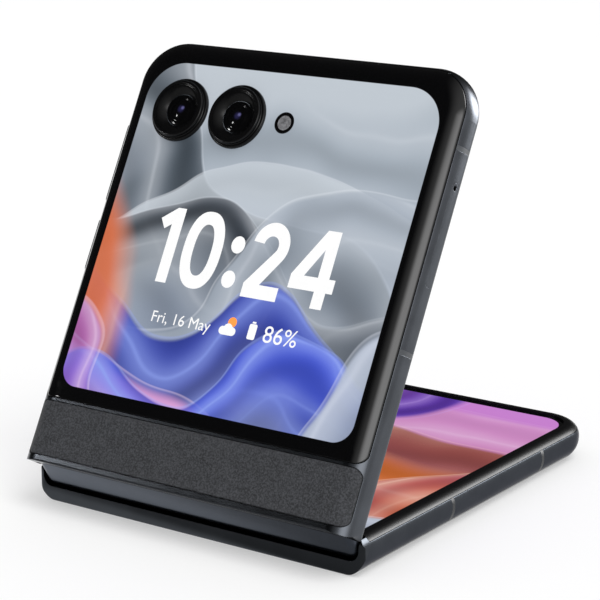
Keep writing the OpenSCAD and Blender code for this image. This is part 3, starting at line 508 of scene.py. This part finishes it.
# Glass over a lit picture: black where the mask is 0, and elsewhere the picture glows over a darker base
def litFinish(name, look, source, flip, masks, **values):
    material, tree, shader = newMaterial(name, Emission_Strength=look["glow"], **values)
    point = picturePoint(tree, source)
    axes = splitAxes(tree, point)
    x, y = axes[0], calc(tree, "MULTIPLY", axes[1], flip)
    drift = splitAxes(tree, noise(tree, point, look["warpScale"], *lit["warpNoise"], "Color"))
    wavyX = calc(tree, "MULTIPLY_ADD", calc(tree, "SUBTRACT", drift[0], 0.5), look["warp"], x)
    wavyY = calc(tree, "MULTIPLY_ADD", calc(tree, "SUBTRACT", drift[1], 0.5), look["warp"], y)
    picture = blendColour(tree, smoothStep(tree, y, *lit["ground"]), look["bottom"], look["top"])
    picture = layerSheets(tree, wavyX, wavyY, drift[2], picture, look["sheets"])
    mask = masks(tree, x, y, look)
    base = blendColour(tree, lit["darken"], picture, lit["black"])
    tree.links.new(blendColour(tree, mask, lit["border"], base), shader.inputs["Base Color"])
    tree.links.new(blendColour(tree, mask, lit["black"], picture), shader.inputs["Emission Color"])
    smears = calc(tree, "MULTIPLY_ADD", noise(tree, point, *lit["smearNoise"]), lit["smear"], lit["rough"])
    tree.links.new(smears, shader.inputs["Roughness"])
    return material


coverGlass = litFinish("coverGlass", coverPicture, "flat", 1.0, coverMasks, Coat_Weight=0.3,
                       Coat_Roughness=0.03)
coverScreen = litFinish("coverScreen", coverPicture, "upper", -1.0, coverMasks)
bendDisplay, lowerDisplay, upperDisplay = (
    litFinish(name, foldPicture, source, 1.0, foldMasks, Specular_IOR_Level=foldPicture["gloss"])
    for name, source in (("bendDisplay", "flat"), ("lowerDisplay", "lower"), ("upperDisplay", "upper"))
)
print("materials made")

# Cover glass: bevelMiddle is the middle of a quarter round, as a share of the bevel. The insets are those of
# the first and the last loop over the rounded border, and how many there are.
glassShape = {"near": 0.0126, "nearRadius": 0.002, "depth": 0.00062, "bevel": 0.00012, "bevelMiddle": 0.29,
              "insets": (0.0003, 0.0036, 16)}


def makeCoverGlass():
    look = glassShape
    bevel, middle = look["bevel"], look["bevel"] * look["bevelMiddle"]
    profile = [(0, look["depth"]), (0, bevel), (middle, middle), (bevel, 0)]
    profile += [(inset, 0) for inset in np.linspace(*look["insets"])]
    half, far = halfWidth - phone["coverInset"], halfLength - phone["coverInset"]
    points, faces = coverSurface(half, look["near"], far, look["nearRadius"],
                                 phone["cornerRadius"] - phone["coverInset"], profile)
    piece = makePiece("coverGlass", points, faces, placeUpper, "upper_half", coverGlass)
    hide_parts("cover_glass")


makeCoverGlass()

stripShape = {"near": 0.0015, "far": 0.01185, "radius": 0.0016, "round": 0.00028, "roundSteps": 6,
              "depth": 0.0006, "insets": (0.0005, 0.0036, 12)}


# The strip's edge is a quarter circle: inset 1 - cosine and drop 1 - sine of the same angle, times its size
def makeStrip():
    look = stripShape
    size = look["round"]
    turn = np.linspace(0, math.pi / 2, look["roundSteps"])
    profile = [(0, look["depth"])] + [(size * (1 - math.cos(a)), size * (1 - math.sin(a))) for a in turn]
    profile += [(inset, 0) for inset in np.linspace(*look["insets"])]
    points, faces = coverSurface(halfWidth - phone["coverInset"], look["near"], look["far"], look["radius"],
                                 look["radius"], profile)
    piece = makePiece("softStrip", points, faces, placeUpper, "upper_half", stripSuede)
    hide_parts("soft_strip")


makeStrip()

# Cameras: middles of both on the upper half, and the radii and heights of the ring's steps. The lip runs down
# into the recess as (out from its radius, down from the top). The lens has steps as (radius, height), and a
# dome whose runs are shares of its radius.
camera = {
    "outer": (-0.02355, 0.071), "inner": (-0.01025, 0.071), "flange": 0.00625, "flangeTop": -0.0007,
    "flangeRound": 0.00035, "ring": 0.0056, "crease": 0.0001, "top": -0.0015, "topRound": 0.0003,
    "recess": 0.00485, "hole": 0.00318, "holeEdge": 0.00006, "floor": -0.0001, "stem": 0.00535,
    "foot": 0.0005, "seat": 0.00002,
    "lip": [(0.00014, 0), (0.00004, 0.00004), (0, 0.00014), (0, 0.0002), (-0.0002, 0.0002)],
    "lensGap": 0.00003, "lensFoot": 0.0003,
    "lensSteps": [(0.0028, 0.00003), (0.00265, 0.0001), (0.00245, 0.0001)],
    "domeFoot": 0.00233, "dome": 0.0022, "domeHeight": 0.0004, "domeRuns": (1, 0.03, 14),
}


# The dome of the lens falls as the square of the distance from its middle
def makeCamera(name, centre):
    look = camera
    top, recess, hole, seat = look["top"], look["recess"], look["hole"], look["seat"]
    ring = [(hole, look["foot"]), (look["stem"], look["foot"]), (look["stem"], seat), (look["flange"], seat)]
    step, crease = look["flangeTop"], look["crease"]
    ring += roundEdge(look["flange"], step, look["flangeRound"])
    ring += [(look["ring"] + crease, step), (look["ring"], step - crease)]
    ring += roundEdge(look["ring"], top, look["topRound"])
    ring += [(recess + outwards, top + down) for outwards, down in look["lip"]]
    ring += [(hole + look["holeEdge"], look["floor"] - look["holeEdge"]), (hole, look["floor"])]
    points, faces = turnedSurface(ring, centre, hole=True)
    body = makePiece(name + "CameraRing", points, faces, placeUpper, "upper_half", ringMetal,
                     sharp=40)
    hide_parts(name + "_camera_ring")
    side = hole - look["lensGap"]
    lens = [(side, look["lensFoot"]), (side, -look["lensGap"])]
    lens += [(radius, -height) for radius, height in look["lensSteps"]] + [(look["domeFoot"], -seat)]
    runs = np.linspace(*look["domeRuns"])
    lens += [(look["dome"] * t, -seat - look["domeHeight"] * (1 - t * t)) for t in runs]
    points, faces = turnedSurface(lens, centre)
    window = makePiece(name + "CameraLens", points, faces, placeUpper, "upper_half", lensFinish(name, centre),
                       sharp=40)
    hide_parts(name + "_camera_window")


# Lenses, in mm from their middle: black, with a blue and a violet spot of painted reflection, each with its
# place, its reach and its share, and smears in their gloss
lensPaintedReflection = {
    "black": linear(5, 5, 6), "blue": linear(40, 38, 74), "blueAt": (0.15, 0.2), "blueReach": (0.1, 1.0),
    "violet": linear(110, 108, 160), "violetAt": (0.35, 0.25), "violetReach": (0.1, 0.5),
    "violetShare": 0.7, "smearScale": 2.5, "smear": 0.08, "rough": 0.05,
}


# Lens: black, with a faint blue and violet spot of painted reflection near the middle
def lensFinish(name, centre):
    material, tree, shader = newMaterial(name + "Lens", Specular_IOR_Level=0.3)
    look = lensPaintedReflection
    point = picturePoint(tree, "flat")
    axes = splitAxes(tree, point)
    x, y = (calc(tree, "SUBTRACT", axes[k], centre[k] * millimetres + look["blueAt"][k]) for k in (0, 1))
    blue = smoothStep(tree, distance(tree, x, y), *look["blueReach"], 1.0, 0.0)
    colour = blendColour(tree, blue, look["black"], look["blue"])
    x, y = (calc(tree, "SUBTRACT", part, shift) for part, shift in zip((x, y), look["violetAt"]))
    violet = smoothStep(tree, distance(tree, x, y), *look["violetReach"], look["violetShare"], 0.0)
    tree.links.new(blendColour(tree, violet, colour, look["violet"]), shader.inputs["Base Color"])
    smears = calc(tree, "MULTIPLY_ADD", noise(tree, point, look["smearScale"]), look["smear"], look["rough"])
    tree.links.new(smears, shader.inputs["Roughness"])
    return material


makeCamera("outer", camera["outer"])
makeCamera("inner", camera["inner"])

# Flash window: a shoulder as (share of the radius, height), and a low dome over shares of the radius
flash = {"centre": (0.0004, 0.071), "radius": 0.00145, "foot": 0.0005, "seat": 0.00002,
         "shoulder": (0.96, 0.00003), "domeHeight": 0.000025, "domeRuns": (0.9, 0.1, 14), "steps": 64}


def makeFlash():
    radius, seat, shoulder = flash["radius"], flash["seat"], flash["shoulder"]
    profile = [(radius, flash["foot"]), (radius, seat), (radius * shoulder[0], -shoulder[1])]
    runs = np.linspace(*flash["domeRuns"])
    profile += [(radius * k, -seat - flash["domeHeight"] * (1 - k * k)) for k in runs]
    points, faces = turnedSurface(profile, flash["centre"], flash["steps"])
    piece = makePiece("flashWindow", points, faces, placeUpper, "upper_half", flashMilk)
    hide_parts("flash_window")


makeFlash()
print("covers and cameras made")

# Clock on the cover display: bounds of its figures and its row of words in mm on the outer face, and the
# height of the plates above the glass in metres
clock = {"left": -20.5, "right": 20.8, "base": 37.7, "tall": 14.5, "gap": 1.9, "rise": 0.000012,
         "row": 30.2, "date": (-16.0, -2.6), "charge": (9.2, 16.4), "textSteps": 6}
glowing = {"cloud": 300.0, "dark": 0.95, "smear": 0.1, "rough": 0.1}


# Lit figures and symbols: a faint cloud in their tone and gloss
def glowFinish(name, colour, glow):
    material, tree, shader = newMaterial(name, Emission_Strength=glow)
    cloud = noise(tree, objectPoint(tree), glowing["cloud"])
    tone = blendColour(tree, cloud, tuple(c * glowing["dark"] for c in colour), colour)
    tree.links.new(tone, shader.inputs["Base Color"])
    tree.links.new(tone, shader.inputs["Emission Color"])
    smears = calc(tree, "MULTIPLY_ADD", cloud, glowing["smear"], glowing["rough"])
    tree.links.new(smears, shader.inputs["Roughness"])
    return material


digitWhite = glowFinish("digitWhite", (0.66, 0.66, 0.66), 0.6)
sunOrange = glowFinish("sunOrange", linear(236, 140, 66), 0.55)


# Paint a little above the glass, from plane points in mm. Faces that run clockwise are turned round.
def makePlate(name, points, faces, material, rise=1.0):
    plane = np.array(points) / millimetres
    outwards = []
    for face in faces:
        x, y = plane[list(face)].T
        area = np.sum(x * np.roll(y, -1) - y * np.roll(x, -1))
        outwards.append(face if area > 0 else face[::-1])
    solid = np.column_stack([plane, np.full(len(plane), -clock["rise"] * rise)])
    makePiece(name, solid, outwards, placeUpper, "upper_half", material, closed=False)


def discPoints(x, y, radius, first=0.0, last=360.0, steps=40):
    turn = np.radians(np.linspace(first, last, steps, endpoint=last - first < 360))
    return [(x + radius * math.cos(a), y + radius * math.sin(a)) for a in turn]


# Quads between two lines with the same number of points
def ribbon(outer, inner, closed):
    count = len(outer)
    steps = count if closed else count - 1
    faces = [(i, (i + 1) % count, count + (i + 1) % count, count + i) for i in range(steps)]
    return list(outer) + list(inner), faces


# Oval from powers of the cosine and the sine: a power under 1 makes its sides a little straighter
def ovalPoints(x, y, a, b, power=0.86, steps=64):
    turn = np.linspace(0, 2 * np.pi, steps, endpoint=False)
    c, s = np.cos(turn), np.sin(turn)
    return list(zip(x + a * np.sign(c) * np.abs(c) ** power, y + b * np.sign(s) * np.abs(s) ** power))


def oneFace(points):
    return points, [tuple(range(len(points)))]


# Outlines of the clock's figures in mm: width, then each part's points and faces
def figureParts(figure):
    tall = clock["tall"]
    if figure == "1":
        outline = [(3.0, 0), (5.7, 0), (5.7, tall), (3.6, tall), (0, 12.1), (1.4, 10.2), (3.0, 11.2)]
        return 5.7, [oneFace(outline)]
    if figure == "0":
        outer, inner = ovalPoints(4.8, tall / 2, 4.8, 7.45), ovalPoints(4.8, tall / 2, 2.25, 4.95)
        return 9.6, [ribbon(outer, inner, True)]
    if figure == ":":
        return 3.3, [oneFace(discPoints(1.65, level, 1.65)) for level in (2.7, 9.3)]
    if figure == "2":
        outer = discPoints(4.35, 10.15, 4.35, 175, -38) + [(4.1, 2.6)]
        inner = discPoints(4.35, 10.15, 1.75, 175, -38) + [(0.3, 2.6)]
        return 8.9, [ribbon(outer, inner, False), oneFace([(0.3, 0), (8.9, 0), (8.9, 2.6), (0.3, 2.6)])]
    bars = [[(6.4, 0), (9.1, 0), (9.1, tall), (6.4, tall)], [(0, 3.1), (6.4, 3.1), (6.4, 5.7), (0, 5.7)],
            [(9.1, 3.1), (10.6, 3.1), (10.6, 5.7), (9.1, 5.7)],
            [(0, 5.7), (3.1, 5.7), (6.4, 10.9), (6.4, tall), (5.9, tall)]]
    return 10.6, [oneFace(bar) for bar in bars]


def makeClock(figures):
    points, faces, x = [], [], 0.0
    for figure in figures:
        wide, parts = figureParts(figure)
        for partPoints, partFaces in parts:
            faces += [tuple(i + len(points) for i in face) for face in partFaces]
            points += [(x + px, py) for px, py in partPoints]
        x += wide + clock["gap"]
    squeeze = (clock["right"] - clock["left"]) / (x - clock["gap"])
    placed = [(clock["left"] + px * squeeze, clock["base"] + py) for px, py in points]
    makePlate("clockFigures", placed, faces, digitWhite)


makeClock("10:24")


# Words in the built-in letters, filled flat and scaled to lie between left and right
def makeWords(name, words, left, right):
    curve = bpy.data.curves.new(name, "FONT")
    curve.body = words
    curve.resolution_u = clock["textSteps"]
    holder = addObject(name + "Curve", curve)
    bpy.context.view_layer.update()
    mesh = bpy.data.meshes.new_from_object(holder.evaluated_get(bpy.context.evaluated_depsgraph_get()))
    bpy.data.objects.remove(holder)
    points = np.zeros(len(mesh.vertices) * 3, np.float32)
    mesh.vertices.foreach_get("co", points)
    points = points.reshape(-1, 3)[:, :2].astype(float)
    scale = (right - left) / np.ptp(points[:, 0])
    placed = (points - [points[:, 0].min(), 0]) * scale + [left, clock["row"]]
    makePlate(name, placed, [tuple(p.vertices) for p in mesh.polygons], digitWhite)


makeWords("dateWords", "Fri, 16 May", *clock["date"])
makeWords("chargeWords", "86%", *clock["charge"])

# Symbols in mm: discs and arcs as x, y, radius, first and last angle, and steps. The cell and its tip are
# rounded loops about their own x, and the sun lies a little under the cloud.
icons = {
    "sun": (1.9, 32.7, 0.95), "sunRise": 0.6,
    "cloud": [(2.3, 31.0, 0.8, -90, 78, 14), (1.3, 31.4, 1.0, 30, 158, 14), (0.2, 31.0, 0.8, 100, 270, 14)],
    "cellAt": (6.6, 0), "cell": (0.85, 30.2, 33.1, 0.35, 0.35, 4, 6),
    "tip": (0.4, 33.2, 33.55, 0.1, 0.1, 4, 4),
}


def makeIcons():
    makePlate("sunIcon", *oneFace(discPoints(*icons["sun"])), sunOrange, icons["sunRise"])
    cloud = [point for arc in icons["cloud"] for point in discPoints(*arc)]
    makePlate("cloudIcon", *oneFace(cloud), digitWhite)
    cell, tip = (roundedLoop(*icons[key]) + icons["cellAt"] for key in ("cell", "tip"))
    faces = [tuple(range(len(cell))), tuple(range(len(cell), len(cell) + len(tip)))]
    makePlate("chargeIcon", np.vstack([cell, tip]), faces, digitWhite)


makeIcons()
print("clock made")

# Bent display: half its width, how far the bend reaches from the fold, and its steps and rounds of repeating
bend = {"half": 0.0338, "reach": 0.006, "steps": 24, "rounds": 60}


# Points at flat distances y and height z, turned about the fold axis by their share of the fold's turn
def bentPoints(y, z, share):
    axisY, axisZ = phone["axisIn"], phone["axisHeight"]
    c, s = np.cos(-foldTurn * share), np.sin(-foldTurn * share)
    dy, dz = y - axisY, z - axisZ
    return np.column_stack([np.zeros(len(y)), axisY + c * dy - s * dz, axisZ + s * dy + c * dz])


# One line of the bent display. Its share is a smooth step of its place along the line from start to end,
# found by repeating it.
def bentLine(y, z, start, line):
    share = 1 - y / bend["reach"]
    for step in range(bend["rounds"]):
        part = np.clip((bentPoints(y, z, share) - start) @ line / (line @ line), 0, 1)
        share = part * part * (3 - 2 * part)
    return bentPoints(y, z, share)


# One half of the bend: a closed strip of loops of four corners, from the flat panel to the middle of the fold
def makeBend(name, side, place):
    y = np.linspace(bend["reach"], 0, bend["steps"] + 1)
    top, low = phone["displayTop"], phone["displayTop"] - phone["displayThickness"]
    start, end = bentPoints(np.array([bend["reach"], 0.0]), top, np.array([0.0, 1.0]))
    upper, under = bentLine(y, top, start, end - start), bentLine(y, low, start, end - start)
    half = bend["half"]
    loops, flats = [], []
    for k in range(len(y)):
        corners = [(-half, upper[k], top), (half, upper[k], top),
                   (half, under[k], low), (-half, under[k], low)]
        loops += [(x, p[1], p[2]) for x, p, z in corners]
        flats += [(x, y[k] * side, z) for x, p, z in corners]
    piece = makePiece(name, np.array(loops), closedFaces(len(y), 4), place, None, bendDisplay,
                      sharp=40, flat=np.array(flats))
    ends = place(np.array([start, end]))
    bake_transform(piece)
    return piece


lowerBend = makeBend("displayBendLower", 1, placeLower)
makeBend("displayBendUpper", -1, placeMirrored)
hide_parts("display_fold")
print("display made")

# Finishes of the CAD nodes that stay, by material slot, and of some nodes of their own
finishes = {
    "frame_metal": upperMetalPaintedLighter, "break_plastic": breakPlastic, "back_cover": backCover,
    "rim_plastic": rimPlastic, "soft_rubber": softRubber, "spine_metal": spineMetal, "camera_ring": ringMetal,
    "inner_metal": innerSteel, "screw_steel": screwSteel, "circuit_board": circuitBoard,
    "battery_wrap": batteryWrap, "module_plastic": modulePlastic, "flash_diffuser": flashMilk,
    "cover_display": coverScreen, "flexible_display": lowerDisplay, "cover_glass": coverScreen,
    "soft_strip": stripSuede, "camera_glass": selfieGlass,
}
ownFinishes = {
    "lower_frame": lowerMetal, "lower_break_inlays": lowerBreaksPaintedDarker, "upper_display_panel": upperDisplay,
    "hinge_base": hingeSteel, "lower_display_backing": hingeSteel, "upper_display_backing": hingeSteel,
    "selfie_camera": selfieGlass,
}
for entry in frame["record"]["subparts"]:
    mesh = nodes[entry["node"]].data
    mesh.materials.clear()
    mesh.materials.append(ownFinishes.get(entry["node"], finishes[entry["material_slot"]]))
print("finishes given")

# Floor: its radius and paper, and how much of it is plain light where it is seen or mirrored. The card is a
# dark part of it in mirrored rays, beyond a slanted line and an edge, in metres.
floorLook = {"radius": 3.0, "sides": 96, "drop": 0.00001, "grain": 900.0, "dark": (0.965, 0.965, 0.965),
             "light": (0.98, 0.98, 0.98), "glow": 0.42, "mirrored": 0.85, "card": 0.22, "slope": -12.0,
             "crossing": 0.528, "slant": (-0.007, 0.025), "edge": (-0.0415, -0.0430)}


# Pale paper floor. Seen or mirrored, part of it is plain white light, which softens the shadow that it keeps.
# In mirrored rays a dark card lies before the fold on the right.
def makeFloor():
    look = floorLook
    material, tree, shader = newMaterial("floorPaper", Roughness=0.9, Specular_IOR_Level=0.1)
    material.cycles.emission_sampling = "NONE"
    point = objectPoint(tree)
    paper = blendColour(tree, noise(tree, point, look["grain"]), look["dark"], look["light"])
    tree.links.new(paper, shader.inputs["Base Color"])
    rays = addNode(tree, "ShaderNodeLightPath").outputs
    mirror = calc(tree, "MAXIMUM", rays["Is Glossy Ray"], rays["Is Transmission Ray"])
    axes = splitAxes(tree, point)
    fromCrossing = calc(tree, "SUBTRACT", axes[0], look["crossing"])
    slant = calc(tree, "MULTIPLY_ADD", axes[1], look["slope"], fromCrossing)
    beyond = smoothStep(tree, slant, *look["slant"])
    card = calc(tree, "MULTIPLY", beyond, smoothStep(tree, axes[1], *look["edge"]))
    level = blendValue(tree, calc(tree, "MULTIPLY", card, rays["Is Glossy Ray"]), 1.0, look["card"])
    white = addNode(tree, "ShaderNodeEmission", {"Color": (1.0, 1.0, 1.0), "Strength": level})
    seen = calc(tree, "MULTIPLY", rays["Is Camera Ray"], look["glow"])
    share = calc(tree, "MULTIPLY_ADD", mirror, look["mirrored"], seen)
    mixed = addNode(tree, "ShaderNodeMixShader", {0: share, 1: shader.outputs[0], 2: white.outputs[0]})
    tree.links.new(mixed.outputs[0], tree.nodes["Material Output"].inputs["Surface"])
    angle = np.linspace(0, 2 * np.pi, look["sides"], endpoint=False)
    ring = [(look["radius"] * math.cos(a), look["radius"] * math.sin(a), -look["drop"]) for a in angle]
    mesh = bpy.data.meshes.new("floor")
    mesh.from_pydata(ring, [], [tuple(range(len(ring)))])
    mesh.materials.append(material)
    addObject("floor", mesh)


# World: strength of its even light, and of what mirrored rays see from the dark left to the right
worldLook = {"diffuse": 0.66, "dark": 0.03, "right": 0.7, "screen": (-0.2, 0.7)}


# Even light all round. Mirrored rays see grey on the right and a dark screen on the left, for black glass.
def makeWorld():
    look = worldLook
    world = bpy.data.worlds.new("studio")
    bpy.context.scene.world = world
    world.use_nodes = True
    world.cycles.sampling_method = "NONE"
    tree = world.node_tree
    rays = addNode(tree, "ShaderNodeLightPath").outputs
    toward = splitAxes(tree, addNode(tree, "ShaderNodeTexCoord").outputs["Generated"])
    screen = smoothStep(tree, toward[0], *look["screen"], look["dark"], look["right"])
    mirrored = blendValue(tree, rays["Is Glossy Ray"], look["diffuse"], screen)
    seen = calc(tree, "MAXIMUM", rays["Is Camera Ray"], rays["Is Transmission Ray"])
    tree.links.new(blendValue(tree, seen, mirrored, 1.0), tree.nodes["Background"].inputs["Strength"])
    tree.nodes["Background"].inputs["Color"].default_value = (1, 1, 1, 1)


# Unit vector towards an azimuth from the front and an elevation, in radians
def towards(azimuth, elevation):
    flat = math.cos(elevation)
    return np.array([math.sin(azimuth) * flat, -math.cos(azimuth) * flat, math.sin(elevation)])


def pointFrom(thing, back):
    thing.rotation_mode = "QUATERNION"
    thing.rotation_quaternion = Vector(back).to_track_quat("Z", "Y")


# Soft boxes: direction and distance from the phone's middle, width, height and brightness
phoneMiddle = np.array([0, -0.02, 0.035])
panels = {
    "rightPanel": ((0.84, -0.42, 0.40), 0.7, 0.8, 0.6, 2.7),
    "backPanel": ((0.54, 0.78, 0.30), 0.7, 0.5, 0.62, 15.0),
    "glint": ((-0.71, -0.63, 0.32), 0.8, 0.07, 0.07, 60.0),
}
panelFade = (0.5, 0.1)


# A soft box fades from its middle to its edges, and is only mirrored
def addPanel(name, toward, away, width, height, brightness):
    light = bpy.data.lights.new(name, "AREA")
    light.shape = "RECTANGLE"
    light.size, light.size_y = width, height
    light.energy = brightness * math.pi * width * height
    light.use_nodes = True
    tree = light.node_tree
    place = splitAxes(tree, addNode(tree, "ShaderNodeNewGeometry").outputs["Parametric"])
    fromMiddle = [calc(tree, "ABSOLUTE", calc(tree, "SUBTRACT", place[k], 0.5)) for k in (0, 1)]
    fade = calc(tree, "MULTIPLY", *[smoothStep(tree, part, *panelFade) for part in fromMiddle])
    tree.links.new(fade, tree.nodes["Emission"].inputs["Strength"])
    lamp = addObject(name, light)
    lamp.visible_diffuse = False
    back = np.array(toward) / np.linalg.norm(toward)
    lamp.location = back * away + phoneMiddle
    pointFrom(lamp, back)


# The sun's angles and its width, in degrees
sun = {"azimuth": 72, "elevation": 61, "strength": 1.45, "angle": 36}


def addSun():
    light = bpy.data.lights.new("softSun", "SUN")
    light.energy = sun["strength"]
    light.angle = math.radians(sun["angle"])
    lamp = addObject("softSun", light)
    lamp.visible_glossy = False
    pointFrom(lamp, towards(math.radians(sun["azimuth"]), math.radians(sun["elevation"])))


# The photograph's view, fitted to the outlines: angles in degrees, lengths in metres, the sensor in mm
view = {"azimuth": 34.803, "elevation": 14.421, "roll": 0.125, "distance": 0.40986,
        "target": (0.002709, -0.012825, 0.038456), "focalPixels": 2187.21, "pixels": 600, "sensor": 36.0,
        "near": 0.01, "far": 20.0}


def makeView():
    azimuth, elevation, roll = (math.radians(view[key]) for key in ("azimuth", "elevation", "roll"))
    back = towards(azimuth, elevation)
    right = np.array([math.cos(azimuth), math.sin(azimuth), 0.0])
    up = np.cross(back, right)
    right, up = right * math.cos(roll) + up * math.sin(roll), up * math.cos(roll) - right * math.sin(roll)
    data = bpy.data.cameras.new("photoView")
    data.sensor_width = view["sensor"]
    data.lens = view["sensor"] * view["focalPixels"] / view["pixels"]
    data.clip_start, data.clip_end = view["near"], view["far"]
    seer = addObject("photoView", data)
    place = np.array(view["target"]) + back * view["distance"]
    columns = np.column_stack([right, up, back, place])
    seer.matrix_world = Matrix(np.vstack([columns, [0, 0, 0, 1]]).tolist())
    bpy.context.scene.camera = seer


makeFloor()
makeWorld()
addSun()
for name, values in panels.items():
    addPanel(name, *values)
makeView()
bpy.context.scene.view_settings.view_transform = "Standard"
print("studio made")
